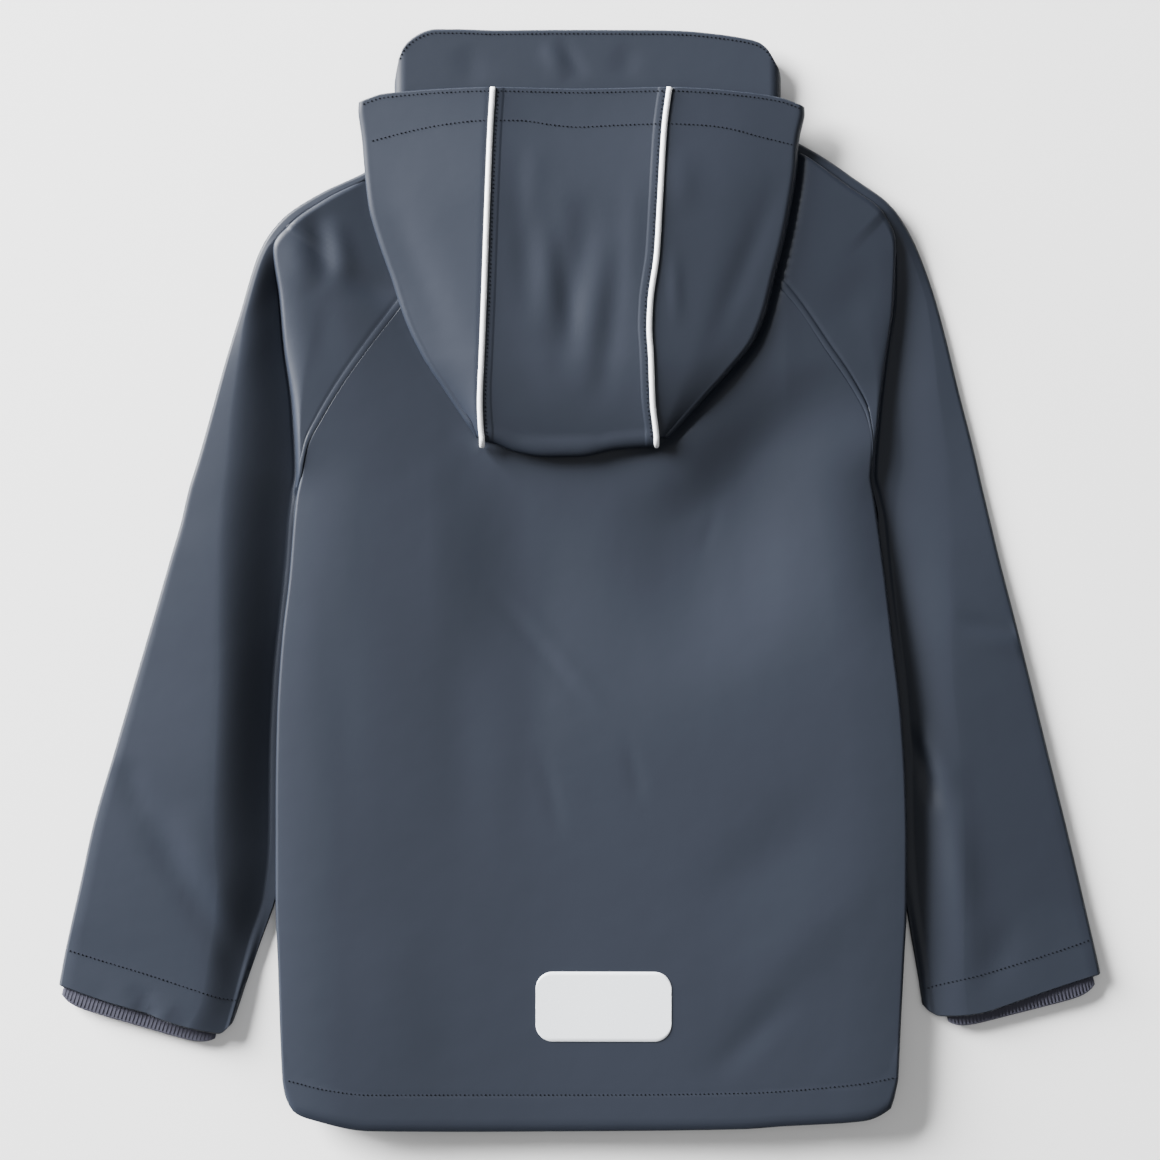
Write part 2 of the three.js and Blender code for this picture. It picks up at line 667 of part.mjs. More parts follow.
const hood = new THREE.Group();
coat.add(hood);
addPiece('hood_left', hoodSide('left'), shell, hood);
addPiece('hood_centre', hoodCentre(), shell, hood);
addPiece('hood_right', hoodSide('right'), shell, hood);
addPiece('piping_left', piping('seamLeft'), pipingSilver, hood);
addPiece('piping_right', piping('seamRight'), pipingSilver, hood);

addPiece('reflective_patch', reflectivePatch(), patchSilver);
addPiece('cuff_left', ribCuff('left'), knit);
addPiece('cuff_right', ribCuff('right'), knit);

// Press studs down the middle, in the gap between the fronts
const studs = new THREE.Group();
studs.position.z = cloth + seam + studThickness / 2;
coat.add(studs);
[240, 148, 56, -36, -128, -220].forEach((y, i) => {
  addPiece(`press_stud_${i + 1}`, pressStud(), studMetal, studs).position.y = y;
});

export default coat;
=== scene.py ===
# Child's hooded raincoat in coated cloth, laid flat with its back up.
# Sizes in the dictionaries are millimetres: +X is the wearer's right, +Y runs from hem to collar, +Z is up.
import math

import bpy
import numpy as np
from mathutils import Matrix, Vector
from mathutils.bvhtree import BVHTree


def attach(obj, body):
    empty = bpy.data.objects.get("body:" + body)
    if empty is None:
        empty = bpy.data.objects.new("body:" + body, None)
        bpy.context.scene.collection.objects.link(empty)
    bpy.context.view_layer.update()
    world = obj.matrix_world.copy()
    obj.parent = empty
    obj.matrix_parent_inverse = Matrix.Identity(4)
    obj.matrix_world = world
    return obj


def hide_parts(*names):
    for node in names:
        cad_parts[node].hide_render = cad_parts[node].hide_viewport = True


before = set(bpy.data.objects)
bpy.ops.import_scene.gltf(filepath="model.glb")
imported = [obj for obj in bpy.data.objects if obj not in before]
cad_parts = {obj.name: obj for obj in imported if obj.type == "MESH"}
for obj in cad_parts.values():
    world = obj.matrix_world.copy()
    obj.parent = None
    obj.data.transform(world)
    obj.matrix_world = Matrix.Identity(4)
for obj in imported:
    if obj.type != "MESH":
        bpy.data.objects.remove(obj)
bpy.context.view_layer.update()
mm = 0.001


# Curves and easing

def mix(start, end, share):
    return start + (end - start) * share


def ease(low, high, at):
    share = np.clip((np.asarray(at, float) - low) / (high - low), 0, 1)
    return share * share * (3 - 2 * share)


def curveOf(points):
    # a smooth curve through (at, value) points, without overshoot
    table = np.array(sorted(points), float)
    at, value = table[:, 0], table[:, 1]
    slope = np.diff(value) / np.diff(at)
    tangent = np.concatenate([slope[:1], np.zeros(len(at) - 2), slope[-1:]])
    for i in range(1, len(at) - 1):
        before, after = slope[i - 1], slope[i]
        if before * after > 0:
            tangent[i] = 2 * before * after / (before + after)

    def read(where):
        where = np.clip(np.asarray(where, float), at[0], at[-1])
        i = np.clip(np.searchsorted(at, where, side="right") - 1, 0, len(at) - 2)
        width = at[i + 1] - at[i]
        t = (where - at[i]) / width
        start = (1 + 2 * t) * (1 - t) ** 2 * value[i] + t * (1 - t) ** 2 * width * tangent[i]
        return start + t * t * (3 - 2 * t) * value[i + 1] - t * t * (1 - t) * width * tangent[i + 1]

    return read


def creasesAt(creases, x, y):
    # soft troughs and ridges: each is (x1, y1, x2, y2, half width, height)
    total = np.zeros(np.broadcast(x, y).shape)
    for x1, y1, x2, y2, half, height in creases:
        runX, runY = x2 - x1, y2 - y1
        length = math.hypot(runX, runY)
        along = np.clip(((x - x1) * runX + (y - y1) * runY) / length**2, 0, 1)
        away = np.hypot(x - x1 - along * runX, y - y1 - along * runY) / half
        total = total + height * np.exp(-away * away) * np.sin(np.pi * along) ** 1.3
    return total


# Meshes

def linked(name, data):
    # an object for a mesh, a lamp or a camera, added to the scene
    added = bpy.data.objects.new(name, data)
    bpy.context.scene.collection.objects.link(added)
    return added


def smoothPiece(name, points, faces):
    mesh = bpy.data.meshes.new(name)
    mesh.from_pydata(points, [], faces)
    mesh.polygons.foreach_set("use_smooth", [True] * len(mesh.polygons))
    mesh.update()
    return linked(name, mesh)


def clothShell(name, grid, thickness, ring=False):
    # a closed wall of cloth round a grid of middle points, with rounded edges
    grid = np.asarray(grid, float)
    rows, columns = grid.shape[:2]
    if ring:
        across = np.roll(grid, -1, 1) - np.roll(grid, 1, 1)
    else:
        across = np.gradient(grid, axis=1)
    along = np.gradient(grid, axis=0)
    normal = np.cross(across, along)
    normal /= np.linalg.norm(normal, axis=2, keepdims=True) + 1e-12
    outer = grid + normal * thickness / 2
    inner = grid - normal * thickness / 2
    index = np.arange(rows * columns).reshape(rows, columns)
    under = rows * columns
    if ring:
        index = np.concatenate([index, index[:, :1]], axis=1)
    a, b, c, d = index[:-1, :-1], index[:-1, 1:], index[1:, 1:], index[1:, :-1]
    top = np.stack([a, b, c, d], -1).reshape(-1, 4)
    bottom = np.stack([a, d, c, b], -1).reshape(-1, 4) + under
    points = [outer.reshape(-1, 3), inner.reshape(-1, 3)]
    faces = [top, bottom]
    count = 2 * under
    lastRow, lastColumn = rows - 1, columns - 1
    if ring:
        loops = [[(0, i) for i in range(columns)], [(lastRow, i) for i in reversed(range(columns))]]
    else:
        loops = [[(0, i) for i in range(columns)]
                 + [(j, lastColumn) for j in range(1, rows)]
                 + [(lastRow, i) for i in range(columns - 2, -1, -1)]
                 + [(j, 0) for j in range(rows - 2, 0, -1)]]
    for loop in loops:
        j = np.array([p[0] for p in loop])
        i = np.array([p[1] for p in loop])
        inJ = np.where(j == 0, 1, np.where(j == lastRow, lastRow - 1, j))
        inI = i if ring else np.where(i == 0, 1, np.where(i == lastColumn, lastColumn - 1, i))
        out = grid[j, i] - grid[inJ, inI]
        out /= np.linalg.norm(out, axis=1, keepdims=True) + 1e-12
        points.append(grid[j, i] + out * thickness * 0.45)
        rim = count + np.arange(len(loop))
        flat = j * columns + i
        nextFlat, nextRim = np.roll(flat, -1), np.roll(rim, -1)
        faces.append(np.stack([flat, rim, nextRim, nextFlat], -1))
        faces.append(np.stack([rim, flat + under, nextFlat + under, nextRim], -1))
        count += len(loop)
    points = np.concatenate(points) * mm
    faces = np.concatenate(faces)
    p0, p1, p2 = points[faces[:, 0]], points[faces[:, 1]], points[faces[:, 2]]
    if np.einsum("ij,ij->i", p0, np.cross(p1, p2)).sum() < 0:
        faces = faces[:, ::-1]
    return smoothPiece(name, points.tolist(), faces.tolist())


def dropOnto(surfaces, points, fall=0.06):
    # each (x, y) lands on the highest of these surfaces
    landed = []
    for x, y in points:
        best = None
        for tree in surfaces:
            hit = tree.ray_cast(Vector((x * mm, y * mm, fall)), Vector((0, 0, -1)))[0]
            if hit is not None and (best is None or hit.z > best):
                best = hit.z
        if best is not None:
            landed.append((x * mm, y * mm, best))
    return landed


# Body: the back panel and the two fronts
body = {
    "cloth": 1.2,
    "underHood": 8.8,
    "bulgeRight": 3.4,
    "dishRight": 6.6,
    "shoulderRight": (14.6, 0.062, 0.016),
    "seamSink": 0.35,
    "rimTop": 6.8,
    "rollIn": 1.0,
    "slopeLeft": (38, 2.6),
    "slopeRight": (36, 3.2, 1.2),
    "hemFall": 1.2,
    "hemDepth": 21.6,
    "hemRows": -297,
    "hemEnds": (-176.5, 189.3),
    "underarms": (62, 61),
    "tuck": 22,
    "placketHalf": 16,
    "placketRise": 3.2,
    "overSleeve": 4.1,
}

sideLeft = curveOf([(62, -166.5), (48, -169.5), (0, -173.7), (-36, -177.9), (-84, -180.9),
                    (-133, -181.7), (-189, -181.7), (-232.8, -180.3), (-270, -179.1), (-297, -178)])
sideRight = curveOf([(61, 174.4), (48, 176.7), (0, 183.3), (-42, 188.1), (-84, 192.9), (-126, 195.3),
                     (-155, 195.9), (-195, 195.7), (-228, 194.1), (-264, 192.3), (-297, 190.8)])
raglanLeft = curveOf([(62, -166.5), (77.4, -163.5), (94.8, -154.5), (117, -141.3), (139.2, -125.7),
                      (163.8, -107.1), (190, -89), (220, -71), (250.2, -55.5)])
raglanRight = curveOf([(61, 174.4), (84, 175.5), (97.2, 172.5), (112.8, 164.7), (139.2, 146.7),
                       (159.6, 133.5), (179.4, 116.1), (220, 84), (252, 66)])
hemLine = curveOf([(-178, -296), (-175.5, -309.6), (-170.1, -318.6), (-161.7, -322.2), (-125.1, -329.4),
                   (-60, -330), (33.3, -329.4), (98.1, -328.2), (120.3, -326.6), (169.5, -323.4),
                   (185.7, -316.2), (190.8, -297)])
backNeck = curveOf([(-112, 258.6), (-107.7, 258), (-55.5, 250), (0, 246.5), (66, 250), (117.3, 269.4),
                    (122, 270.5)])
frontNeck = curveOf([(-112, 260.1), (-107.7, 258), (-62, 236), (-30, 221.5), (0, 217.5), (30, 221.5),
                     (74, 236), (117.3, 269.4), (122, 273)])

hoodLeft = curveOf([(294, -132.6), (264, -129.6), (244.8, -128.1), (223.8, -125.7), (204, -120.3),
                    (181.8, -112.5), (154.8, -103.5), (132.6, -92.7), (115.2, -81.3), (98.4, -70.2),
                    (86.1, -61.8), (80, -58.5)])
hoodRight = curveOf([(294, 135), (264, 130.8), (244.8, 129.3), (222, 125.7), (204, 122.1),
                     (181.8, 116.4), (161.4, 111.3), (144.7, 104.7), (124.8, 89.1), (110.4, 75.9),
                     (90.6, 57.9), (80, 48)])
seamLeft = curveOf([(294, -51.6), (270, -53.1), (225, -54.9), (165, -57), (135, -58.2), (105, -59.4),
                    (90, -58.8), (83.4, -57.9)])
seamRight = curveOf([(294, 53.7), (270, 50.7), (225, 48), (195, 46.2), (165, 42.3), (150, 41.7),
                     (135, 42.6), (105, 43.8), (90, 45.6), (80.4, 46.5)])
hoodOpening = curveOf([(-131.7, 285.6), (-117.9, 290.1), (-109.5, 291), (-83.7, 292.8), (-51.9, 293.7),
                       (0.3, 292.8), (53.7, 293.7), (72.3, 293), (96.3, 291), (119.7, 287.6),
                       (134.1, 282.6)])
hoodTip = curveOf([(-57.9, 83.4), (-51.3, 82.2), (-36.9, 76.8), (-19.5, 74.1), (0.3, 74.4),
                   (22.5, 78.6), (46.5, 80.4)])
hoodOutline = ([(float(hoodLeft(y)), y) for y in np.arange(262, 86, -8.0)]
               + [(x, float(hoodTip(x))) for x in np.arange(-56, 48, 8.0)]
               + [(float(hoodRight(y)), y) for y in np.arange(86, 264, 8.0)])


def outsideHood(x, y):
    # how far a point of the back lies outside the hood that rests on it
    x, y = np.broadcast_arrays(np.asarray(x, float), np.asarray(y, float))
    away = np.full(x.shape, 1e6)
    for (x1, y1), (x2, y2) in zip(hoodOutline[:-1], hoodOutline[1:]):
        runX, runY = x2 - x1, y2 - y1
        along = np.clip(((x - x1) * runX + (y - y1) * runY) / (runX**2 + runY**2), 0, 1)
        away = np.minimum(away, np.hypot(x - x1 - along * runX, y - y1 - along * runY))
    inside = (y > hoodTip(x)) & (x > hoodLeft(y)) & (x < hoodRight(y))
    return np.where(inside, 0, away)


# the level of the laid back across the coat, away from the hood
crownAcross = curveOf([(-176, 17), (-128, 16.2), (-70, 14.4), (-24, 13.8), (30, 14.5), (90, 15.6),
                       (136, 16.2), (190, 16.7)])


def laidTop(x, y):
    # the level of the laid back and of the sleeve heads, low round the hood and dished down the middle
    away = outsideHood(x, y)
    start, fallX, fallY = body["shoulderRight"]
    shoulder = start - fallX * np.clip(x - 124, 0, 68) - fallY * np.clip(230 - y, 0, 110)
    crown = mix(crownAcross(x), shoulder, ease(-70, 125, y) * ease(20, 80, x))
    toRight = ease(-90, -30, x)
    quick = 1 - (1 - np.clip(away / 84, 0, 1)) ** 2
    slow = ease(30, 190, away)
    near = ease(0, 6, away)
    head = ease(76, 134, y) * ease(40, 90, x)
    share = mix(quick, mix(slow, near, head), toRight)
    flank = ease(10, 84, x) * (1 - head)
    bulge = ease(0, 7, away) * flank
    dish = ease(4, 50, away) * (1 - ease(50, 160, away)) * flank * (1 - 0.7 * ease(94, 176, x))
    low = body["underHood"] + body["bulgeRight"] * bulge
    return low + (crown - low) * share - body["dishRight"] * dish


bodyCreases = [
    (-54, -6, 12, -84, 4.5, -0.45),
    (-50, 0, 18, -78, 5, 0.35),
    (-75, -12, -64, -192, 17, -0.6),
    (-12, 60, -36, -180, 15, -0.5),
    (27, -90, 38, -136, 4, -0.35),
    (-24, -96, -10, -158, 4.5, -0.35),
    (84, 48, 72, 10, 3.5, -0.2),
    (166, -120, 60, -212, 20, -0.8),
    (180, -170, 84, -262, 18, 0.7),
    (132, -244, 70, -305, 9, -0.6),
    (-150, 20, -140, -150, 14, -0.4),
    (-120, -200, -100, -300, 22, 0.5),
]


def bodyEdges(y):
    lowLeft, lowRight = body["underarms"]
    left = np.where(y < lowLeft, sideLeft(y), raglanLeft(y))
    right = np.where(y < lowRight, sideRight(y), raglanRight(y))
    return left, right


def bodyTop(x, y):
    # height of the back's outer face
    left, right = bodyEdges(y)
    fromLeft, fromRight = x - left, right - x
    inset = np.minimum(fromLeft, fromRight)
    below = 1 - ease(46, 88, y)
    top = laidTop(x, y)
    wide, drop = body["slopeLeft"]
    top = top - below * drop * np.clip(1 - fromLeft / wide, 0, 1) ** 2
    wide, high, lowDown = body["slopeRight"]
    drop = mix(lowDown, high, ease(-70, 10, y))
    top = top - below * drop * np.clip(1 - fromRight / wide, 0, 1) ** 2
    rolled = np.clip(inset / body["rollIn"], 0, 1)
    rim = mix(top - body["seamSink"] * ease(0, 60, x), body["rimTop"], below)
    height = rim + (top - rim) * np.sqrt(1 - (1 - rolled) ** 2)
    aboveHem = y - hemLine(x)
    height = height - body["hemFall"] * (1 - np.clip(aboveHem / 5, 0, 1)) ** 2
    height = height + creasesAt(bodyCreases, x, y) * np.clip(inset / 25, 0, 1)
    stitched = np.exp(-(((aboveHem - body["hemDepth"]) / 1.1) ** 2))
    band = 1 - ease(body["hemDepth"] - 1.5, body["hemDepth"] + 1.5, aboveHem)
    return height - 0.1 * stitched + 0.12 * band


def tuckAt(y):
    # how far a sleeve's inner part lies in under the side
    return body["tuck"] * np.sin(np.pi * np.clip((37 - y) / 226, 0, 1))


def frontFloor(x, y):
    # the fronts rise at the sides, over the parts of the sleeves under them
    left, right = bodyEdges(y)
    inset = np.minimum(x - left, right - x)
    lifted = (1 - ease(40, 62, y)) * ease(-230, -202, y)
    return body["overSleeve"] * lifted * (1 - ease(tuckAt(y) + 3, tuckAt(y) + 37, inset))


def overlapRise(x):
    # the right front and the collar's end lie on top of the left ones
    half = body["placketHalf"]
    return body["placketRise"] * (1 - ease(half + 2, half + 16, x))


def spaced(count, tight):
    share = np.linspace(0, 1, count + 1)
    return (1 - tight) * share + tight * (1 - np.cos(np.pi * share)) / 2


def makeBack():
    rim = np.array([0, 0.2, 0.45, 0.75, 1.1, 1.7, 2.8]) / 360
    across = np.concatenate([rim, mix(rim[-1], 1 - rim[-1], spaced(134, 0.3))[1:-1], 1 - rim[::-1]])
    hemSteps = np.array([0, 0.35, 1, 2.2, 4.5, 8, 12, 16, 18.5, 20, 20.9, 21.6, 22.3, 23.2, 24.7, 27,
                         30, 34])
    rows = []
    for share in hemSteps / hemSteps[-1]:
        x = mix(-178, 190.8, across)
        line = np.minimum(mix(hemLine(x), body["hemRows"], share), body["hemRows"])
        rows.append(np.stack([x, line, 0 * x], -1))
    upper = np.concatenate([np.arange(-294, 60, 3.1), [61.5], np.arange(64, 249, 3.0), [250]])
    for y in upper:
        left, right = bodyEdges(np.array(y))
        x = mix(left, right, across)
        line = np.full_like(x, y) if y < 249.5 else backNeck(x)
        rows.append(np.stack([x, line, 0 * x], -1))
    grid = np.array(rows)
    grid[..., 2] = bodyTop(grid[..., 0], grid[..., 1]) - body["cloth"] / 2
    return clothShell("backPanel", grid, body["cloth"])


def makeFront(side):
    right = side == "right"
    half = body["placketHalf"]
    columns = spaced(40, 0.6)
    rows = []
    for y in np.concatenate([[None], np.arange(-290, 62, 8.0), np.arange(62, 232, 8.0), [236]]):
        if y is None:      # the hem
            edge = body["hemEnds"][1 if right else 0]
        else:
            leftEdge, rightEdge = bodyEdges(np.array(float(y)))
            edge = float(rightEdge - 0.8) if right else float(leftEdge + 0.8)
        x = mix(edge, half + 30 if right else half, columns)
        if right:
            placket = [half + 20, half + 16, half + 12, half + 9, half + 6, half + 3, half, 6, -6, -half]
            x = np.concatenate([x, placket])
        if y is None:
            line = hemLine(np.clip(x, *body["hemEnds"])) + 1.5
        else:
            line = frontNeck(x) if y > 235 else np.full_like(x, float(y))
        rise = overlapRise(x) if right else 0
        rows.append(np.stack([x, line, frontFloor(x, line) + body["cloth"] / 2 + rise], -1))
    return clothShell("frontPanelRight" if right else "frontPanelLeft", np.array(rows), body["cloth"])


# Sleeves: a row for each station from the neck to the cuff, with the plan points and heights of its section.
# Where laid is 1 the head follows laidTop, and where it is 0 seamTop and foldTop give the tube's level.
sleeveColumns = ["backX", "backY", "foldX", "foldY", "outerX", "outerY", "frontX", "frontY",
                 "laid", "seamTop", "foldTop", "valleyTop", "crestTop", "crestIn", "edgeTop"]
sleeveRows = {
    "left": [
        (-55.5, 250, -103, 257.3, -107.7, 258, -62.3, 236, 1, 9.6, 9.6, 9.3, 9.3, 8, 9),
        (-71, 220, -123, 242.4, -128.1, 244.8, -73.9, 215, 1, 9.6, 9.6, 9.4, 9.4, 9, 9.2),
        (-89, 190, -150.4, 228.2, -155.7, 231.6, -89, 190, 1, 9.6, 10.6, 10.2, 10.2, 10, 9.8),
        (-106.3, 165, -172.4, 212.6, -178, 216.6, -106.3, 165, 1, 9.6, 12.4, 11.2, 11.2, 10, 10.6),
        (-125, 140, -182.3, 199, -191, 198.5, -125, 140, 1, 9.6, 15, 10.4, 10.8, 4, 10.2),
        (-141.3, 117, -178.4, 172, -204, 157.5, -141.3, 117, 1, 9.6, 16.5, 3.8, 11.4, 5, 10.8),
        (-154.2, 96, -175.4, 141, -212.6, 129, -154.2, 96, 1, 9.6, 16.8, 2.8, 13.2, 9, 12.4),
        (-163.3, 78, -170.2, 103, -220, 102, -163.3, 78, 1, 9.4, 16.8, 2.8, 14.2, 12, 13.2),
        (-166.5, 62, -168.1, 64, -228.6, 71.5, -166.5, 62, 0.8, 8, 10, 2.8, 15, 18, 13.6),
        (-169.4, 50, -170.6, 50.5, -234, 54, -169.4, 50, 0, 4, 3.6, 2.8, 15.4, 21, 14),
        (-171.4, 36, -172.6, 36.5, -238.5, 34.5, -171.4, 36, 0, 3.4, 3.2, 2.8, 16, 24, 14.4),
        (-164, 14, -174.2, 14, -244.5, 14, -164, 14, 0, 3.4, 3.2, 2.8, 16.6, 29, 14.8),
        (-156.5, -22, -178, -22, -254.3, -20, -156.5, -22, 0, 3.4, 3.2, 2.8, 17, 38, 14.6),
        (-157.5, -62, -182, -61, -265.2, -57, -157.5, -62, 0, 3.4, 3.2, 2.8, 17, 49, 13.8),
        (-164, -108, -184, -107, -278, -101, -164, -108, 0, 3.4, 3.2, 2.8, 16.8, 60, 12.8),
        (-174, -156, -184.4, -155, -291.3, -146, -174, -156, 0, 3.4, 3.2, 3, 15.4, 72, 10.8),
        (-183.2, -192, -188, -191, -299.3, -182, -183.2, -192, 0, 3.6, 3.6, 4, 13.8, 82, 9.4),
        (-192, -217, -197, -216, -304.8, -206, -192, -217, 0, 3.8, 5, 6.2, 12.4, 84, 8.4),
        (-200.5, -242, -205.5, -241, -309.2, -226, -200.5, -242, 0, 4, 7, 8.4, 11.2, 84, 7.2),
        (-206.3, -259, -211, -258.3, -312.3, -243, -206.3, -259, 0, 4, 7.8, 9.2, 10.8, 78, 7),
    ],
    "right": [
        (66, 250, 112.4, 267.6, 117.3, 269.4, 74, 236, 1, 9.6, 9.6, 9.4, 9.4, 8, 9),
        (84, 220, 138, 251.6, 143.7, 255, 87.5, 215, 1, 9.6, 9.8, 9.4, 9.4, 9, 9),
        (107.5, 190, 160.4, 235.4, 165.9, 240, 107.5, 190, 1, 9.6, 10, 9.4, 9.4, 9, 9),
        (128.5, 165, 181.4, 220, 186.3, 225, 128.5, 165, 1, 9.6, 9.8, 8.8, 8.8, 9, 8.2),
        (146, 140, 189, 201, 199, 206.5, 146, 140, 1, 9.6, 9.6, 5.4, 5.6, 5, 5),
        (162, 117, 187.5, 166, 211.6, 175, 162, 117, 1, 9.6, 9.6, 2.2, 3.2, 5, 2.8),
        (172.8, 96, 183.5, 136, 219.5, 147, 172.8, 96, 1, 9.6, 10, 2, 3.5, 8, 3),
        (175.4, 78, 179.6, 104, 227.4, 114.5, 175.4, 78, 0.8, 7.8, 9, 2, 3.9, 12, 3.2),
        (174.4, 62, 176.4, 64, 236.5, 79, 174.4, 62, 0.3, 5, 5, 2, 3.7, 16, 3.2),
        (177.4, 50, 179.6, 50.5, 242, 55, 177.4, 50, 0, 4, 3.6, 2, 3.8, 20, 3.3),
        (179.8, 36, 182.8, 36.5, 247, 34, 179.8, 36, 0, 3.4, 3.2, 2, 4.1, 24, 3.5),
        (173, 14, 185, 14, 252, 13, 173, 14, 0, 3.4, 3.2, 2.1, 4.9, 29, 3.8),
        (167, -22, 189, -22, 261, -22, 167, -22, 0, 3.4, 3.2, 2.6, 6.7, 37, 4.5),
        (170, -62, 194, -61, 271, -62, 170, -62, 0, 3.4, 3.2, 3, 7.5, 46, 4.8),
        (178, -108, 197.6, -107, 282.3, -108, 178, -108, 0, 3.4, 3.3, 3.2, 8.2, 53, 4.9),
        (188, -156, 198.6, -155, 293.7, -154, 188, -156, 0, 3.8, 3.9, 4, 8.6, 62, 4.8),
        (196.6, -194, 201.4, -193, 302.4, -191, 196.6, -194, 0, 4, 4.8, 5.2, 8.8, 71, 5),
        (200.6, -218, 205.6, -217, 307, -211, 200.6, -218, 0, 4, 5.4, 6.4, 8.9, 76, 5.8),
        (204, -238, 209, -237, 310.4, -226, 204, -238, 0, 4, 5.4, 6.4, 9, 79, 6.4),
        (206.5, -255, 211.3, -254, 312.6, -236.4, 206.5, -255, 0, 4, 5.8, 7, 9, 80, 6.6),
    ],
}
sleeveHem = {
    "left": curveOf([(0, 0), (0.03, 8), (0.1, 14.5), (0.32, 13), (0.5, 9), (0.75, 5.3), (1, 0)]),
    "right": curveOf([(0, 0), (0.03, 4), (0.1, 8.5), (0.32, 11), (0.5, 8.3), (0.75, 3.8), (1, 0)]),
}
sleeve = {
    "riseRun": {"left": (38, 34), "right": (22, 40)},    # how far the rise runs, at the head and lower down
    "foldRoll": {"left": 2.6, "right": 0.8},             # how far the shoulder fold's edge turns down
    "weltLift": {"left": 1.0, "right": 1.8},             # how strongly the welt beside the seam shows
    "turnIn": 1.6,
    "low": 1.2,
    "rowStep": 3.2,
    "headColumns": 28,
    "riseColumns": 24,
    "slopeColumns": 12,
    "hemReach": 60,
}
sleeveCreases = {
    "left": [
        (-176, 210, -160, 172, 8, 0.9),
        (-161, 224, -148, 174, 7, -2.0),
        (-151, 218, -137, 180, 6, 1.2),
        (-147, 186, -104, 165, 8, -1.6),
        (-160, 190, -150, 120, 12, -0.8),
        (-274, -106, -260, -144, 7, -0.9),
        (-266, -124, -236, -186, 9, -1.1),
        (-254, -154, -200, -234, 8, -1.7),
        (-238, -132, -212, -206, 9, 0.9),
        (-263, -236, -256, -262, 4, -1.7),
        (-254, -238, -248, -262, 4, 1.0),
        (-242, -244, -236, -266, 4, -0.8),
        (-290, -236, -286, -254, 4, -0.5),
    ],
    "right": [
        (182, 190, 150, 150, 14, -0.6),
        (196, -84, 208, -116, 6, -1.3),
        (207, -100, 214, -140, 5, -1.8),
        (202, -84, 226, -132, 9, 1.3),
        (220, -104, 230, -204, 10, 0.9),
        (224, -140, 236, -240, 9, 0.9),
        (225, -22, 268, -34, 5, -0.5),
        (228, -30, 270, -44, 6, 0.4),
        (262, -200, 240, -240, 9, -0.8),
    ],
}
weltRidge = [(0, -0.12), (0.5, -0.05), (1.2, 0.05), (2.2, 0.06), (3.2, 0.04), (3.9, -0.1), (4.4, -0.2),
             (5.4, 0.0)]


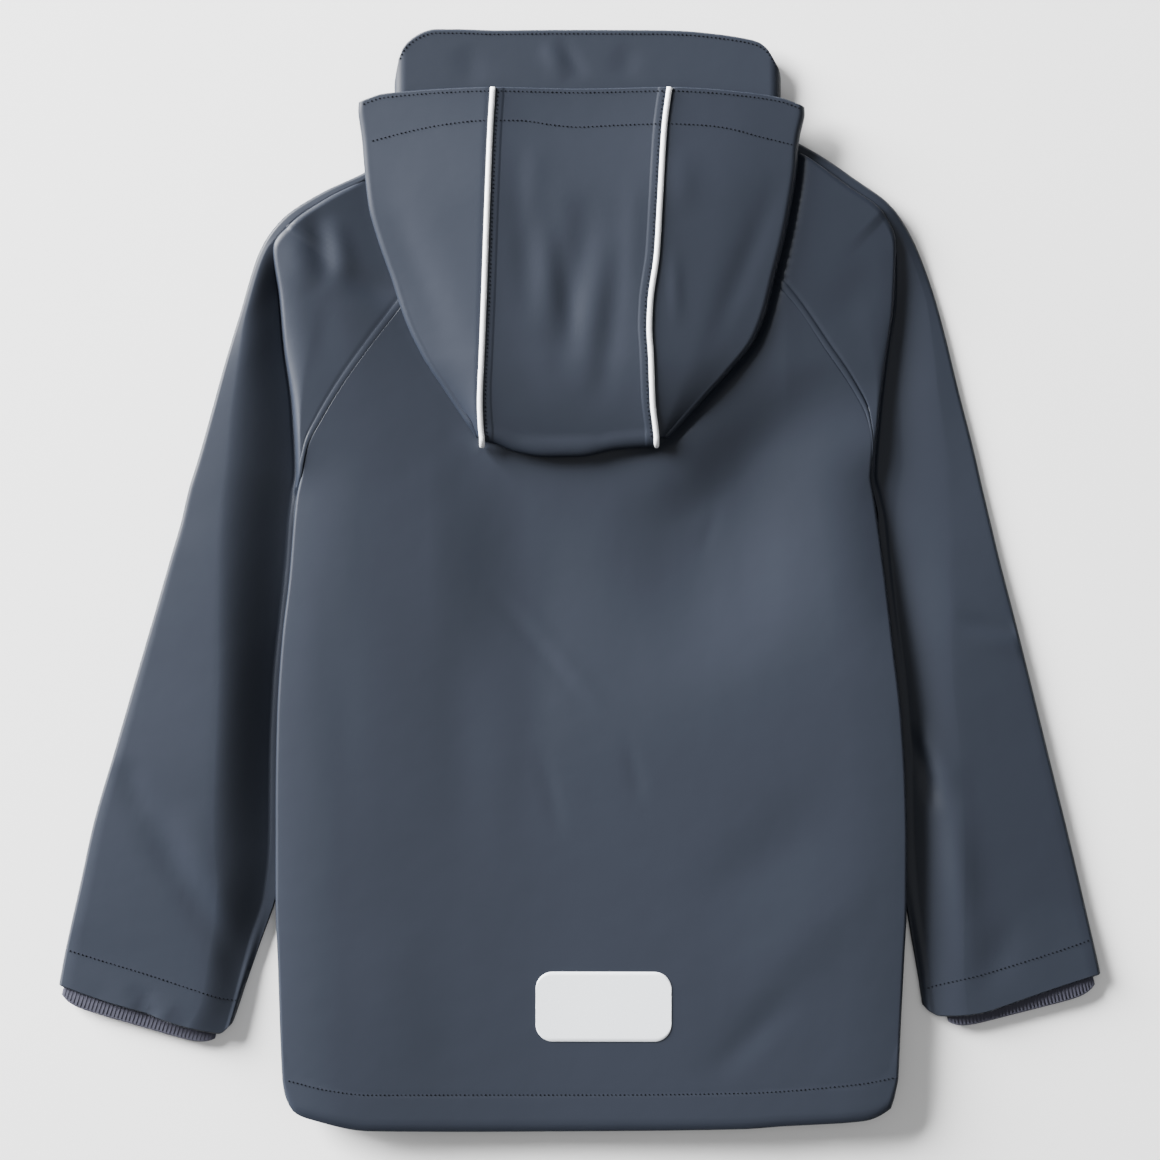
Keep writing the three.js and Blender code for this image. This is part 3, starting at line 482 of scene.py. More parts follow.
def makeSleeve(side):
    low, headColumns = sleeve["low"], sleeve["headColumns"]
    table = np.array(sleeveRows[side], float)
    middle = (table[:, 0:2] + table[:, 4:6]) / 2
    reached = np.concatenate([[0], np.cumsum(np.linalg.norm(np.diff(middle, axis=0), axis=1))])
    stations = [reached[0]]
    for start, end in zip(reached[:-1], reached[1:]):
        steps = max(2, int(round((end - start) / sleeve["rowStep"])))
        stations += list(np.linspace(start, end, steps + 1)[1:])
    last = stations[-1]
    stations = [s for s in stations if s < last - 4] + [last - 2.4, last - 1.0, last - 0.35, last]
    read = {name: curveOf(list(zip(reached, table[:, k]))) for k, name in enumerate(sleeveColumns)}
    rows = []
    for s in stations:
        r = {name: float(f(s)) for name, f in read.items()}
        back, fold = np.array([r["backX"], r["backY"]]), np.array([r["foldX"], r["foldY"]])
        outer, front = np.array([r["outerX"], r["outerY"]]), np.array([r["frontX"], r["frontY"]])
        width = np.linalg.norm(fold - back)
        scale = min(1.0, 0.6 * width / 5.2)
        shares = [away * scale / width for away, _ in weltRidge]
        shares += list(np.linspace(shares[-1], 1, headColumns + 1)[1:])
        raised = [lift * sleeve["weltLift"][side] * r["laid"] * scale for _, lift in weltRidge]
        raised += [0] * headColumns
        plan = np.array([mix(back, fold, share) for share in shares])
        shares = np.array(shares)
        flat = mix(r["seamTop"], r["foldTop"], ease(0, 1, shares))
        level = mix(flat, laidTop(plan[:, 0], plan[:, 1]), r["laid"]) + np.array(raised)
        foldTop = level[-1] - sleeve["foldRoll"][side] * r["laid"] * (1 if s > reached[3] else 0)
        level = level - (level[-1] - foldTop) * np.clip((shares - 0.5) / 0.5, 0, 1) ** 1.4
        points = [[x, y, z] for (x, y), z in zip(plan, level)]
        span = np.linalg.norm(outer - fold)
        outward = (outer - fold) / span
        crestIn = min(r["crestIn"], span * 0.8)
        step = min(2.2, span * 0.1)
        for away in (0.3, 0.65, 1.0):
            top = mix(foldTop, min(r["valleyTop"], foldTop), float(ease(0, 1, away)))
            points.append([*(fold + outward * step * away), top])
        valley, crest = points[-1][2], r["crestTop"]
        rise = max(span - crestIn - step, 1)
        run = min(mix(*sleeve["riseRun"][side], float(ease(0.3, 0.6, s / last))), rise)
        foot = float(ease(rise - 1.4 * run, rise, 0))
        for share in np.linspace(0, 1, sleeve["riseColumns"] + 1)[1:]:
            if side == "left":
                gained = (float(ease(rise - 1.4 * run, rise, rise * share)) - foot) / (1 - foot)
            else:
                gained = 1 - min(1, (1 - share) * rise / run) ** 1.7
            points.append([*(fold + outward * (step + rise * share)), mix(valley, crest, gained)])
        # from the crest down to the outer fold, a slope and then a tight turn
        edge = r["edgeTop"]
        turnIn = min(sleeve["turnIn"], crestIn * 0.5, span * 0.3)
        for share in np.linspace(0, 1, sleeve["slopeColumns"] + 1)[1:]:
            away = span - mix(crestIn, turnIn, share)
            points.append([*(fold + outward * away), crest - (crest - edge) * share**1.15])
        middleZ = edge * 0.45
        for angle in [*np.linspace(math.pi / 2, 0, 8)[1:], *np.linspace(0, -math.pi / 2, 7)[1:-1]]:
            away = span - turnIn + turnIn * math.cos(angle)
            reach = edge - middleZ if angle >= 0 else middleZ - low
            points.append([*(fold + outward * away), middleZ + reach * math.sin(angle)])
        turn = fold + outward * (span - turnIn)
        for share in np.linspace(0, 1, 16):
            points.append([*mix(turn, front, share), low])
        rows.append(points)
    grid = np.array(rows)
    upper = len(weltRidge) + headColumns + 3 + sleeve["riseColumns"] + sleeve["slopeColumns"]
    top = grid[:, :upper]
    fadeNeck = ease(0, 30, np.array(stations))[:, None]
    top[..., 2] += creasesAt(sleeveCreases[side], top[..., 0], top[..., 1]) * fadeNeck
    grid[..., 2] = np.maximum(grid[..., 2], low) - body["cloth"] / 2
    # the lower edge dips between its corners
    across = np.clip((grid[..., 0] - grid[:, :1, 0]) / (table[-1, 4] - table[-1, 0]), 0, 1)
    nearHem = ease(last - sleeve["hemReach"], last, np.array(stations))[:, None]
    grid[..., 1] -= sleeveHem[side](across) * nearHem
    # the neck row follows the neckline
    share = np.clip(grid[0, :, 2] / 9, 0, 1)
    grid[0, :, 1] = mix(frontNeck(grid[0, :, 0]), backNeck(grid[0, :, 0]), share)
    return clothShell("sleeveLeft" if side == "left" else "sleeveRight", grid, body["cloth"])


# Hood: two side panels and a centre panel, joined by piped seams
hood = {
    "cloth": 1.2,
    "under": 10.6,
    "top": 23.2,
    "openingTop": 21,
    "edgeLeft": 15.4,
    "edgeRight": 18.2,
    "outerBand": 0.34,
    "turnIn": 3.6,
    "pipe": 1.65,
    "pipeBend": 5.2,
    "tipFall": 5.0,
    "tipRoll": 9.5,
    "centreDip": 1.2,
    "seamDip": 0.5,
    "openingY": 294.2,
    "corners": {"left": -131.7, "right": 134.1},
    "neckY": 247.5,
    "neckLeft": -45,
    "neckRight": 38,
}
hoodCreases = [
    (-36, 262, -30, 150, 8, -0.8),
    (-26, 268, -34, 190, 7, 0.4),
    (-10, 240, -22, 140, 9, 0.8),
    (-18, 232, -2, 132, 7, -0.9),
    (8, 236, -14, 112, 8, -0.7),
    (16, 215, 4, 108, 9, 0.7),
    (24, 200, 12, 100, 8, -0.8),
    (34, 250, 30, 150, 7, 0.5),
    (-44, 150, -20, 100, 10, -0.3),
    (-124, 246, -70, 124, 9, -0.6),
    (-104, 262, -58, 130, 13, 0.3),
    (60, 260, 62, 216, 9, 0.5),
    (56, 200, 58, 150, 4, 0.5),
    (122, 246, 74, 128, 7, -0.6),
]


def hoodHeight(x, y):
    # the side panels slope down from their seams, and the centre panel dips between them
    x, y = np.broadcast_arrays(np.asarray(x, float), np.asarray(y, float))
    top = mix(hood["top"], hood["openingTop"], ease(225, 290, y))
    left, right = seamLeft(y), seamRight(y)
    between = np.clip((x - left) / (right - left), 0, 1)
    level = top - hood["centreDip"] * np.sin(np.pi * between) ** 0.7
    far = np.clip((left - x) / (left - hoodLeft(y) + 0.01), 0, 1)
    level = level - (top - hood["edgeLeft"]) * far**1.15
    # the right panel lies flatter at first, and its outer band falls away
    far = np.clip((x - right) / (hoodRight(y) - right + 0.01), 0, 1)
    outer = ease(1 - hood["outerBand"] * 1.7, 1.05, far)
    level = level - (top - hood["edgeRight"]) * (0.72 * far + 0.28 * outer)
    level = level - hood["tipFall"] * np.clip((134 - y) / 48, 0, 1) ** 1.8
    return level + creasesAt(hoodCreases, x, y) * (1 - ease(255, 292, y))


def makeHoodSide(side):
    out = -1 if side == "left" else 1
    seam = seamLeft if side == "left" else seamRight
    outline = hoodLeft if side == "left" else hoodRight
    levels = np.concatenate([[hood["openingY"], 293.8, 293, 291.5, 289], np.arange(286, 94, -2.4),
                             np.arange(94, 85.4, -1.4)])
    rows = []
    for k, level in enumerate(levels):
        gone = k / (len(levels) - 1)
        lift = level - hood["openingY"]
        seamX = float(seam(level)) + out * (hood["pipe"] - 0.2)
        edgeX = mix(float(outline(level)), hood["corners"][side], 1 - float(ease(0, 9, -lift)))
        reach = min(hood["turnIn"], abs(edgeX - seamX) * 0.5)
        turnX = edgeX - out * reach
        x = mix(seamX, turnX, spaced(30, 0.3))
        y = mix(level, hoodOpening(x) + lift, 1 - float(ease(0, 40, -lift)))
        z = hoodHeight(x, y) - hood["cloth"] / 2
        z = z - hood["seamDip"] * np.exp(-((np.abs(x - seamX) / 1.2) ** 2))
        points = list(np.stack([x, y, z], -1))
        topZ, low = z[-1], hood["under"] + 0.1
        for angle in np.linspace(math.pi / 2, -math.pi / 2, 15)[1:-1]:
            px = turnX + out * reach * math.cos(angle)
            py = mix(level, float(hoodOpening(px)) + lift, 1 - float(ease(0, 40, -lift)))
            points.append(np.array([px, py, mix(low, topZ, (1 + math.sin(angle)) / 2)]))
        endY = points[-1][1]
        neckX = hood["neckLeft"] if side == "left" else hood["neckRight"]
        underX = mix(neckX, float(seam(84)), gone)
        underY = mix(hood["neckY"], levels[-1], gone)
        for share in np.linspace(0, 1, 9):
            points.append(np.array([mix(turnX, underX, share), mix(endY, underY, share), low]))
        rows.append(points)
    return clothShell("hoodSideLeft" if side == "left" else "hoodSideRight", np.array(rows), hood["cloth"])


def makeHoodCentre():
    # a raised seam allowance runs beside each piping
    welt = np.array([0, 0.5, 1.2, 2.4, 3.8, 4.8, 5.3, 5.8, 6.8])
    raised = np.array([0, 0.15, 0.26, 0.3, 0.3, 0.2, 0, 0, 0])
    roll, inset = hood["tipRoll"], hood["pipe"] - 0.2
    rows = []
    for down in np.concatenate([[0, 0.0015, 0.005, 0.012, 0.022], np.linspace(0.034, 1, 84)]):
        level = mix(hood["openingY"], 86, down)
        left, right = float(seamLeft(level)) + inset, float(seamRight(level)) - inset
        between = np.linspace(left + welt[-1], right - welt[-1], 36)[1:-1]
        x = np.concatenate([left + welt, between, right - welt[::-1]])
        lift = np.concatenate([raised, 0 * between, raised[::-1]])
        y = mix(hoodOpening(x), hoodTip(x) + roll, down)
        rows.append(np.stack([x, y, hoodHeight(x, y) + lift - hood["cloth"] / 2], -1))
    tip = rows[-1]
    low = hood["under"] + 0.1
    for angle in np.linspace(math.pi / 2, -math.pi / 2, 13)[1:-1]:
        row = tip.copy()
        row[:, 1] -= roll * math.cos(angle)
        row[:, 2] = mix(low, tip[:, 2], (1 + math.sin(angle)) / 2)
        rows.append(row)
    share = np.linspace(0, 1, len(tip))
    for up in np.linspace(0, 1, 12):
        row = tip.copy()
        row[:, 0] = mix(tip[:, 0], mix(hood["neckLeft"], hood["neckRight"], share), up)
        row[:, 1] = mix(tip[:, 1], hood["neckY"], up)
        row[:, 2] = low
        rows.append(row)
    return clothShell("hoodCentre", np.array(rows), hood["cloth"])


# Collar
collarTop = curveOf([(-110.7, 292.2), (-109.7, 302.4), (-107.7, 313.8), (-105.3, 319.2), (-100.5, 324),
                     (-92.9, 328.2), (-86.7, 329.6), (-74.1, 329.6), (-50.7, 328.9), (-12.9, 329.2),
                     (45.9, 329), (62.7, 328.5), (79.5, 327), (96.3, 324.6), (106.5, 322.2),
                     (111.7, 318.8), (116.7, 311.2), (119.7, 303.6), (120.4, 287.6)])
collarCreases = [(-14, 326, 4, 300, 4, -0.6), (-22, 322, -8, 300, 5, 0.6), (30, 324, 26, 298, 7, -0.4),
                 (-70, 322, -60, 296, 8, -0.4)]
collar = {"cloth": 2.0, "sides": (-110.2, 119.9), "turn": 5.5, "top": 9.4, "frontTop": 277, "gap": 0.6}


def makeCollar():
    cloth, sides, turn, frontTop = collar["cloth"], collar["sides"], collar["turn"], collar["frontTop"]
    high, low = collar["top"] - cloth / 2, cloth / 2
    up = np.concatenate([np.linspace(0, 0.96, 30), [0.975, 0.985, 0.993, 1]])
    half = body["placketHalf"]

    def upright(x, z, top, lift=0.0):
        share = min(max((z - low) / (high - low), 0), 1)
        base = mix(float(frontNeck(x)), float(backNeck(x)), share) + collar["gap"]
        y = mix(base, float(top), up)
        crease = creasesAt(collarCreases, x, y) if share > 0.9 else 0
        return np.stack([np.full_like(y, x), y, np.full_like(y, z + lift) + crease], -1)

    def frontPart(x, edge, rise):
        top = mix(float(collarTop(edge)), frontTop, float(ease(0, 1, 1 - x / edge)))
        return upright(x, low, top, rise)

    columns = []
    turnLeft, turnRight = sides[0] + turn, sides[1] - turn
    for x in np.linspace(half, turnLeft, 20):
        columns.append(frontPart(x, sides[0], 0) if x < 0 else upright(x, low, frontTop))
    for angle in np.linspace(-math.pi / 2, math.pi / 2, 11)[1:-1]:
        x = turnLeft - turn * math.cos(angle)
        columns.append(upright(x, mix(low, high, (1 + math.sin(angle)) / 2), collarTop(x)))
    for x in mix(turnLeft, turnRight, spaced(110, 0.5)):
        columns.append(upright(x, high, collarTop(x)))
    for angle in np.linspace(math.pi / 2, -math.pi / 2, 11)[1:-1]:
        x = turnRight + turn * math.cos(angle)
        columns.append(upright(x, mix(low, high, (1 + math.sin(angle)) / 2), collarTop(x)))
    overlap = [half + 12, half + 9, half + 6, half + 2, 6, -half]
    for x in np.concatenate([np.linspace(turnRight, half + 16, 16), overlap]):
        rise = float(overlapRise(x))
        columns.append(frontPart(x, sides[1], rise) if x > 0 else upright(x, low, frontTop, rise))
    return clothShell("collarBand", np.array(columns), cloth)


# Materials: every pattern reads Object coordinates
def newFinish(name, rough, metallic, shine):
    material = bpy.data.materials.new(name)
    material.use_nodes = True
    nodes = material.node_tree.nodes
    shader = nodes["Principled BSDF"]
    shader.inputs["Roughness"].default_value = rough
    shader.inputs["Metallic"].default_value = metallic
    shader.inputs["Specular IOR Level"].default_value = shine
    return material, shader, nodes.new("ShaderNodeTexCoord").outputs["Object"]


def noise(material, place, scale, detail):
    tree = material.node_tree
    node = tree.nodes.new("ShaderNodeTexNoise")
    node.inputs["Scale"].default_value = scale
    node.inputs["Detail"].default_value = detail
    tree.links.new(place, node.inputs["Vector"])
    return node.outputs["Fac"]


def tint(material, pattern, colour, spread, reach):
    # the colour goes that share darker and lighter over the pattern's range
    tree = material.node_tree
    ramp = tree.nodes.new("ShaderNodeValToRGB")
    for end, position, share in zip(ramp.color_ramp.elements, reach, (1 - spread, 1 + spread)):
        end.position = position
        end.color = (*[min(1, c * share) for c in colour], 1)
    tree.links.new(pattern, ramp.inputs["Fac"])
    return ramp.outputs["Color"]


def bump(material, pattern, strength, distance, under=None):
    tree = material.node_tree
    node = tree.nodes.new("ShaderNodeBump")
    node.inputs["Strength"].default_value = strength
    node.inputs["Distance"].default_value = distance
    tree.links.new(pattern, node.inputs["Height"])
    if under is not None:
        tree.links.new(under, node.inputs["Normal"])
    return node.outputs["Normal"]


def coatedCloth(name, colour, rough):
    material, shader, place = newFinish(name, rough, 0, 0.24)
    mottle = tint(material, noise(material, place, 14, 4), colour, 0.03, (0.3, 0.7))
    fine = bump(material, noise(material, place, 1600, 2), 0.12, 0.0002)
    soft = bump(material, noise(material, place, 55, 3), 0.25, 0.0006, fine)
    material.node_tree.links.new(mottle, shader.inputs["Base Color"])
    material.node_tree.links.new(soft, shader.inputs["Normal"])
    return material


def plainFinish(name, colour, rough, metallic=0.0, shine=0.5):
    material, shader, place = newFinish(name, rough, metallic, shine)
    grain = noise(material, place, 900, 2)
    links = material.node_tree.links
    links.new(tint(material, grain, colour, 0.05, (0, 1)), shader.inputs["Base Color"])
    links.new(bump(material, grain, 0.1, 0.0002), shader.inputs["Normal"])
    return material


shellCloth = coatedCloth("slateCoatedCloth", (0.0122, 0.0157, 0.0246), 0.5)
pipingFinish = plainFinish("whitePiping", (0.86, 0.87, 0.89), 0.5)
patchFinish = plainFinish("reflectiveFilm", (0.74, 0.77, 0.81), 0.4)
threadFinish = plainFinish("slateThread", (0.004, 0.005, 0.008), 0.85, shine=0.06)
ribFinish = plainFinish("ribKnit", (0.05, 0.05, 0.068), 0.92, shine=0.1)
studFinish = plainFinish("studMetal", (0.1, 0.105, 0.12), 0.35, 1.0)


def finish(piece, material, slot, *replaced):
    piece.data.materials.clear()
    piece.data.materials.append(material)
    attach(piece, "root")
    if replaced:
        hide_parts(*replaced)
    return piece


backPanel = finish(makeBack(), shellCloth, "shell", "back")
frontPanelLeft = finish(makeFront("left"), shellCloth, "shell", "front_left")
frontPanelRight = finish(makeFront("right"), shellCloth, "shell", "front_right")
print("body made")
sleeveLeft = finish(makeSleeve("left"), shellCloth, "shell", "sleeve_left")
sleeveRight = finish(makeSleeve("right"), shellCloth, "shell", "sleeve_right")
print("sleeves made")
hoodSideLeft = finish(makeHoodSide("left"), shellCloth, "shell", "hood_left")
hoodSideRight = finish(makeHoodSide("right"), shellCloth, "shell", "hood_right")
hoodCentre = finish(makeHoodCentre(), shellCloth, "shell", "hood_centre")
print("hood made")
collarBand = finish(makeCollar(), shellCloth, "shell", "collar")
print("collar made")


# Piping: a round cord in each hood seam, bent over the tip
def makePiping(name, seam):
    levels = np.concatenate([np.linspace(294, 92, 70), [89, 87, 85.5]])
    points = [[float(seam(y)), y, float(hoodHeight(float(seam(y)), y)) + 0.1] for y in levels]
    x, y, z = points[-1]
    bend = hood["pipeBend"]
    for angle in np.linspace(0, math.pi * 0.62, 9)[1:]:
        points.append([x, y - bend * math.sin(angle), z - bend * (1 - math.cos(angle))])
    path = np.array(points)
    tangent = np.gradient(path, axis=0)
    tangent /= np.linalg.norm(tangent, axis=1, keepdims=True)
    side = np.cross(tangent, [0, 0, 1.0])
    side[-6:] = side[-7]
    side /= np.linalg.norm(side, axis=1, keepdims=True)
    normal = np.cross(side, tangent)
    angles = np.linspace(0, 2 * math.pi, 17)[:-1]
    verts, faces = [], []
    for k, p in enumerate(path):
        for angle in angles:
            verts.append(p + hood["pipe"] * (side[k] * math.cos(angle) + normal[k] * math.sin(angle) * 0.9))
    n = len(angles)
    for k in range(len(path) - 1):
        for i in range(n):
            j = (i + 1) % n
            faces.append((k * n + i, k * n + j, (k + 1) * n + j, (k + 1) * n + i))
    faces.append(tuple(range(n))[::-1])
    faces.append(tuple((len(path) - 1) * n + i for i in range(n)))
    return smoothPiece(name, (np.array(verts) * mm).tolist(), faces)


finish(makePiping("pipingLeft", seamLeft), pipingFinish, "piping", "piping_left")
finish(makePiping("pipingRight", seamRight), pipingFinish, "piping", "piping_right")

# Rib-knit inner cuffs: a flattened tube, with its ribs set round it by Geometry Nodes
ribKnit = {
    "left": {"x": -266.6, "y": -267, "angle": 163.8, "width": 95},
    "right": {"x": 267, "y": -259, "angle": 14.4, "width": 90},
    "ribs": 84,
    "ribWide": 1.5,
    "ribDeep": 0.75,
    "length": 27,
    "bottom": 1.9,
    "height": 3.4,
    "cloth": 1.0,
    "corner": 5,
}


def newTree(name, sockets):
    # a Geometry Nodes tree with named inputs, given as (name, kind, value)
    tree = bpy.data.node_groups.new(name, "GeometryNodeTree")
    ends = [("Geometry", "NodeSocketGeometry", None), ("Material", "NodeSocketMaterial", None)]
    for label, kind, value in [ends[0], *sockets, ends[1]]:
        socket = tree.interface.new_socket(label, in_out="INPUT", socket_type=kind)
        if value is not None:
            socket.default_value = value
    tree.interface.new_socket("Geometry", in_out="OUTPUT", socket_type="NodeSocketGeometry")
    return tree, tree.nodes.new("NodeGroupInput").outputs


def addNode(tree, kind, inputs, **settings):
    # a node with its settings and inputs: an input is a value, or another node's output
    node = tree.nodes.new(kind)
    for name, value in settings.items():
        setattr(node, name, value)
    for name, value in inputs.items():
        if isinstance(value, bpy.types.NodeSocket):
            tree.links.new(value, node.inputs[name])
        else:
            node.inputs[name].default_value = value
    return node


def setAlong(tree, given, mode, spacing, shape, size, shift, turn, scale):
    # one shape at each point of the path, made real, smooth and given its material
    path = addNode(tree, "GeometryNodeMeshToCurve", {"Mesh": given["Geometry"]})
    points = addNode(tree, "GeometryNodeResampleCurve", {
        "Curve": path.outputs["Curve"], **spacing}, mode=mode)
    sized = addNode(tree, "GeometryNodeTransform", {"Geometry": shape, "Scale": size, "Translation": shift})
    placed = addNode(tree, "GeometryNodeInstanceOnPoints", {
        "Points": points.outputs["Curve"], "Instance": sized.outputs["Geometry"],
        "Rotation": turn, "Scale": scale})
    real = addNode(tree, "GeometryNodeRealizeInstances", {"Geometry": placed.outputs["Instances"]})
    smooth = addNode(tree, "GeometryNodeSetShadeSmooth", {"Geometry": real.outputs["Geometry"]})
    done = addNode(tree, "GeometryNodeSetMaterial", {
        "Geometry": smooth.outputs["Geometry"], "Material": given["Material"]})
    addNode(tree, "NodeGroupOutput", {"Geometry": done.outputs["Geometry"]})
    return tree


def grow(name, tree, base, values):
    # the tree's result on a base object, as a plain mesh of its own
    modifier = base.modifiers.new(name, "NODES")
    modifier.node_group = tree
    for item in tree.interface.items_tree:
        if item.in_out == "INPUT" and item.name in values:
            modifier[item.identifier] = values[item.name]
    graph = bpy.context.evaluated_depsgraph_get()
    mesh = bpy.data.meshes.new_from_object(base.evaluated_get(graph))
    mesh.name = name
    bpy.data.objects.remove(base)
    return linked(name, mesh)


def pathObject(name, runs, closed=False):
    # polylines as one mesh of edges, in metres
    points, edges = [], []
    for run in runs:
        first = len(points)
        points += [tuple(p) for p in run]
        edges += [(first + i, first + i + 1) for i in range(len(run) - 1)]
        if closed:
            edges.append((first + len(run) - 1, first))
    mesh = bpy.data.meshes.new(name)
    mesh.from_pydata(points, edges, [])
    return linked(name, mesh)


def stitchTree():
    # stitches along a path: one rounded bead for each pitch, drawn out along the path
    tree, given = newTree("stitchRun", [
        ("Pitch", "NodeSocketFloat", 0.0025),
        ("Length", "NodeSocketFloat", 0.0017),
        ("Thread", "NodeSocketFloat", 0.0004),
        ("Uneven", "NodeSocketFloat", 0.12),
        ("Seed", "NodeSocketInt", 3),
    ])
    tangent = addNode(tree, "GeometryNodeInputTangent", {}).outputs["Tangent"]
    turn = addNode(tree, "FunctionNodeAlignRotationToVector", {"Vector": tangent}, axis="X")
    least = addNode(tree, "ShaderNodeMath", {0: 1.0, 1: given["Uneven"]}, operation="SUBTRACT")
    most = addNode(tree, "ShaderNodeMath", {0: 1.0, 1: given["Uneven"]}, operation="ADD")
    wobble = addNode(tree, "FunctionNodeRandomValue", {
        2: least.outputs["Value"], 3: most.outputs["Value"], "Seed": given["Seed"]}, data_type="FLOAT")
    bead = addNode(tree, "GeometryNodeMeshUVSphere", {"Segments": 8, "Rings": 5, "Radius": 0.5})
    size = addNode(tree, "ShaderNodeCombineXYZ", {
        "X": given["Length"], "Y": given["Thread"], "Z": given["Thread"]})
    return setAlong(tree, given, "LENGTH", {"Length": given["Pitch"]}, bead.outputs["Mesh"],
                    size.outputs["Vector"], (0, 0, 0), turn.outputs["Rotation"], wobble.outputs[1])


def ribTree():
    # ribs round a closed path: one rounded bar for each rib, standing along "Up"
    tree, given = newTree("ribRun", [
        ("Count", "NodeSocketInt", 84),
        ("Length", "NodeSocketFloat", 0.027),
        ("Wide", "NodeSocketFloat", 0.0015),
        ("Deep", "NodeSocketFloat", 0.001),
        ("Up", "NodeSocketVector", (0, 1, 0)),
    ])
    tangent = addNode(tree, "GeometryNodeInputTangent", {}).outputs["Tangent"]
    stand = addNode(tree, "FunctionNodeAlignRotationToVector", {"Vector": given["Up"]}, axis="Z")
    turn = addNode(tree, "FunctionNodeAlignRotationToVector", {
        "Rotation": stand.outputs["Rotation"], "Vector": tangent}, axis="X", pivot_axis="Z")
    bar = addNode(tree, "GeometryNodeMeshCylinder", {
        "Vertices": 8, "Side Segments": 2, "Radius": 0.5, "Depth": 1.0})
    size = addNode(tree, "ShaderNodeCombineXYZ", {
        "X": given["Wide"], "Y": given["Deep"], "Z": given["Length"]})
    half = addNode(tree, "ShaderNodeMath", {0: given["Length"], 1: 0.5}, operation="MULTIPLY")
    lift = addNode(tree, "ShaderNodeCombineXYZ", {"Z": half.outputs["Value"]})
    return setAlong(tree, given, "COUNT", {"Count": given["Count"]}, bar.outputs["Mesh"],
                    size.outputs["Vector"], lift.outputs["Vector"], turn.outputs["Rotation"], (1, 1, 1))


stitches = stitchTree()
ribs = ribTree()


def makeCuff(side):
    knit, length = ribKnit[side], ribKnit["length"]
    turned = math.radians(knit["angle"])
    across = np.array([math.cos(turned), math.sin(turned), 0])
    up = np.array([-across[1], across[0], 0])
    if up[1] < 0:
        up = -up
    origin = np.array([knit["x"], knit["y"], ribKnit["bottom"] + ribKnit["height"] / 2])
    half, rise = knit["width"] / 2, (ribKnit["height"] - ribKnit["cloth"]) / 2
    ring = []
    for angle in np.linspace(0, 2 * math.pi, 97)[:-1]:
        c, s = math.cos(angle), math.sin(angle)
        ring.append((half * math.copysign(abs(c) ** 0.35, c), rise * math.copysign(abs(s) ** 0.6, s)))

    def ringAt(step, swell, fade):
        # the tube's section that far in from its edge, whose corners are rounded
        return [origin + across * a + np.array([0, 0, lift * swell])
                + up * (step + ribKnit["corner"] * (abs(a) / half) ** 8 * fade) for a, lift in ring]

    rows = [ringAt(step, 1, 1 - step / length) for step in (0, 0.4, 1.2, 8, 20, length)]
    tube = clothShell("ribTube", np.array(rows), ribKnit["cloth"], ring=True)
    path = pathObject("ribPath", [[point * mm for point in ringAt(0.6, 1.25, 1)]], closed=True)
    bars = grow("ribBars", ribs, path, {
        "Count": ribKnit["ribs"], "Length": (length - 6) * mm, "Wide": ribKnit["ribWide"] * mm,
        "Deep": ribKnit["ribDeep"] * mm, "Up": tuple(up), "Material": ribFinish})
    tube.data.materials.append(ribFinish)
    bpy.ops.object.select_all(action="DESELECT")
    bars.select_set(True)
    tube.select_set(True)
    bpy.context.view_layer.objects.active = tube
    bpy.ops.object.join()
    tube.name = "ribCuffLeft" if side == "left" else "ribCuffRight"
    return tube


ribCuffLeft = finish(makeCuff("left"), ribFinish, "knit", "cuff_left")
ribCuffRight = finish(makeCuff("right"), ribFinish, "knit", "cuff_right")
print("rib cuffs made")

# Stitching: runs of (x, y) points, dropped onto the cloth
sewing = {"pitch": 2.5, "length": 1.15, "thread": 0.95,
          "hoodEdge": 1.9, "besideSeam": 3.1, "collarEdge": 1.6}


def along(points, count=60):
    # an even run of points through a few given ones
    table = np.array(points, float)
    reached = np.concatenate([[0], np.cumsum(np.linalg.norm(np.diff(table, axis=0), axis=1))])
    at = np.linspace(0, reached[-1], count)
    x, y = curveOf(list(zip(reached, table[:, 0]))), curveOf(list(zip(reached, table[:, 1])))
    return np.stack([x(at), y(at)], -1)


def sew(name, pieces, runs):
    graph = bpy.context.evaluated_depsgraph_get()
    surfaces = [BVHTree.FromObject(piece, graph) for piece in pieces]
    landed = [dropOnto(surfaces, run) for run in runs]
    base = pathObject(name + "Path", [run for run in landed if len(run) > 1])
    piece = grow(name, stitches, base, {
        "Pitch": sewing["pitch"] * mm, "Length": sewing["length"] * mm, "Thread": sewing["thread"] * mm,
        "Material": threadFinish})
    return finish(piece, threadFinish, "shell")


hemRun = along([(-173.7, -299.7), (-150, -305.2), (-125.7, -307.9), (0.3, -308.1), (98.1, -306.8),
                (166.8, -301.4), (189.5, -297.4)], 200)
sew("hemStitches", [backPanel], [hemRun])
hoodRun = along([(-123.5, 262.6), (-103.5, 267.6), (-81.3, 271.8), (-54.9, 274.2), (-36.9, 274.2),
                 (-14.7, 271.4), (-1.5, 270.3), (22.5, 271.4), (51.3, 272.1), (73.5, 271.4),
                 (89.1, 269.4), (106.9, 264.8), (126.5, 260.1)], 180)
openX = np.linspace(-129, 131, 170)
hoodEdgeRun = np.stack([openX, hoodOpening(openX) - sewing["hoodEdge"]], -1)
seamRuns = []
for seam, out in ((seamLeft, 1), (seamRight, -1)):
    levels = np.linspace(291, 86, 150)
    seamRuns.append(np.stack([seam(levels) + out * sewing["besideSeam"], levels], -1))
sew("hoodStitches", [hoodSideLeft, hoodCentre, hoodSideRight], [hoodRun, hoodEdgeRun, *seamRuns])
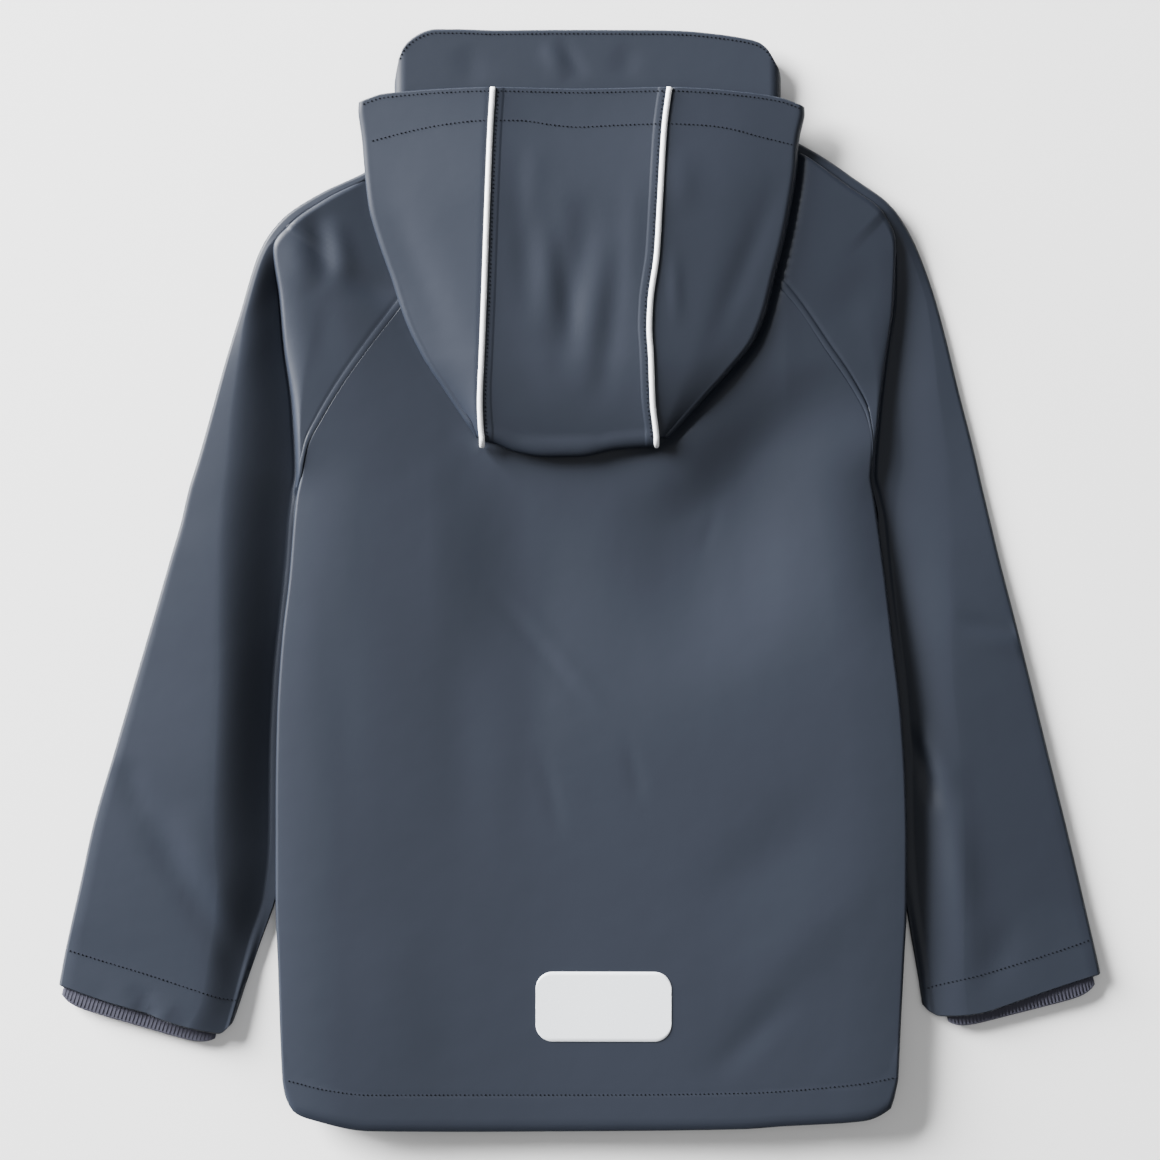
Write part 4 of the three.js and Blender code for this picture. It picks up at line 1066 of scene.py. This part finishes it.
cuffRuns = [
    along([(-305.7, -222.6), (-290.1, -227.4), (-256.5, -237.4), (-227.1, -247), (-215.1, -250.8),
           (-206.5, -252.3)]),
    along([(209.5, -245), (218.4, -242.3), (242.7, -236.4), (263.7, -230.1), (293.1, -220.8),
           (307.5, -215.8)]),
]
sew("sleeveStitches", [sleeveLeft, sleeveRight], cuffRuns)
collarX = np.linspace(-107.5, 117.5, 240)
collarRun = np.stack([collarX, collarTop(collarX) - sewing["collarEdge"]], -1)
sew("collarStitches", [collarBand], [collarRun])
print("stitching made")

# Patch
patch = {"width": 81, "height": 41.5, "corner": 10, "thick": 0.3, "x": 14.4, "y": -255.3}


def makePatch():
    half, corner = patch["width"] / 2, patch["corner"]
    across = np.concatenate([-half + corner * (1 - np.cos(np.linspace(0, math.pi / 2, 12))),
                             np.linspace(-half + corner, half - corner, 24)[1:-1],
                             half - corner * (1 - np.cos(np.linspace(math.pi / 2, 0, 12)))])
    rows = []
    for up in np.linspace(-1, 1, 20):
        past = np.maximum(0, np.abs(across) - (half - corner))
        tall = patch["height"] / 2 - corner + np.sqrt(np.maximum(corner**2 - past**2, 0))
        x, y = patch["x"] + across, patch["y"] + up * tall
        rows.append(np.stack([x, y, bodyTop(x, y) + 0.05 + patch["thick"] / 2], -1))
    return clothShell("reflectivePatch", np.array(rows), patch["thick"])


reflectivePatch = finish(makePatch(), patchFinish, "patch", "reflective_patch")

# The hidden press studs stay the solids, with a finish of their own
for number in range(1, 7):
    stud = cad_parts[f"press_stud_{number}"]
    stud.data.materials.clear()
    stud.data.materials.append(studFinish)

# Floor, light and camera
studio = {
    "keyPower": 4000, "keySize": 3.4, "keyPlace": (-4.65, 3.1, 1.62),
    "fillPower": 14, "fillSize": 2.0, "fillPlace": (0.4, -0.3, 2.4),
    "sky": 0.25, "floor": 0.9,
}
bpy.ops.mesh.primitive_plane_add(size=8, location=(0, 0, -0.0005))
floor = bpy.context.object
floor.name = "paleFloor"
floorFinish = bpy.data.materials.new("paleFloor")
floorFinish.use_nodes = True
floorShader = floorFinish.node_tree.nodes["Principled BSDF"]
floorShader.inputs["Base Color"].default_value = (studio["floor"], studio["floor"], studio["floor"], 1)
floorShader.inputs["Roughness"].default_value = 0.9
floor.data.materials.append(floorFinish)


def softbox(name, place, size, power):
    lamp = bpy.data.lights.new(name, "AREA")
    lamp.shape = "SQUARE"
    lamp.size = size
    lamp.energy = power
    box = linked(name, lamp)
    box.location = place
    box.rotation_euler = (-Vector(place)).to_track_quat("-Z", "Y").to_euler()


softbox("keyLight", studio["keyPlace"], studio["keySize"], studio["keyPower"])
softbox("fillLight", studio["fillPlace"], studio["fillSize"], studio["fillPower"])
world = bpy.data.worlds.new("studio")
world.use_nodes = True
background = world.node_tree.nodes["Background"]
background.inputs["Color"].default_value = (1, 1, 1, 1)
background.inputs["Strength"].default_value = studio["sky"]
bpy.context.scene.world = world

view = {"height": 2.2, "across": 0.696, "focus": 0.008, "aside": 0.0003}
lens = bpy.data.cameras.new("camera")
lens.sensor_width = 36
lens.lens = lens.sensor_width * (view["height"] - view["focus"]) / view["across"]
lens.clip_start = 0.05
camera = linked("camera", lens)
camera.location = (view["aside"], 0, view["height"])
bpy.context.scene.camera = camera
print("stage set")
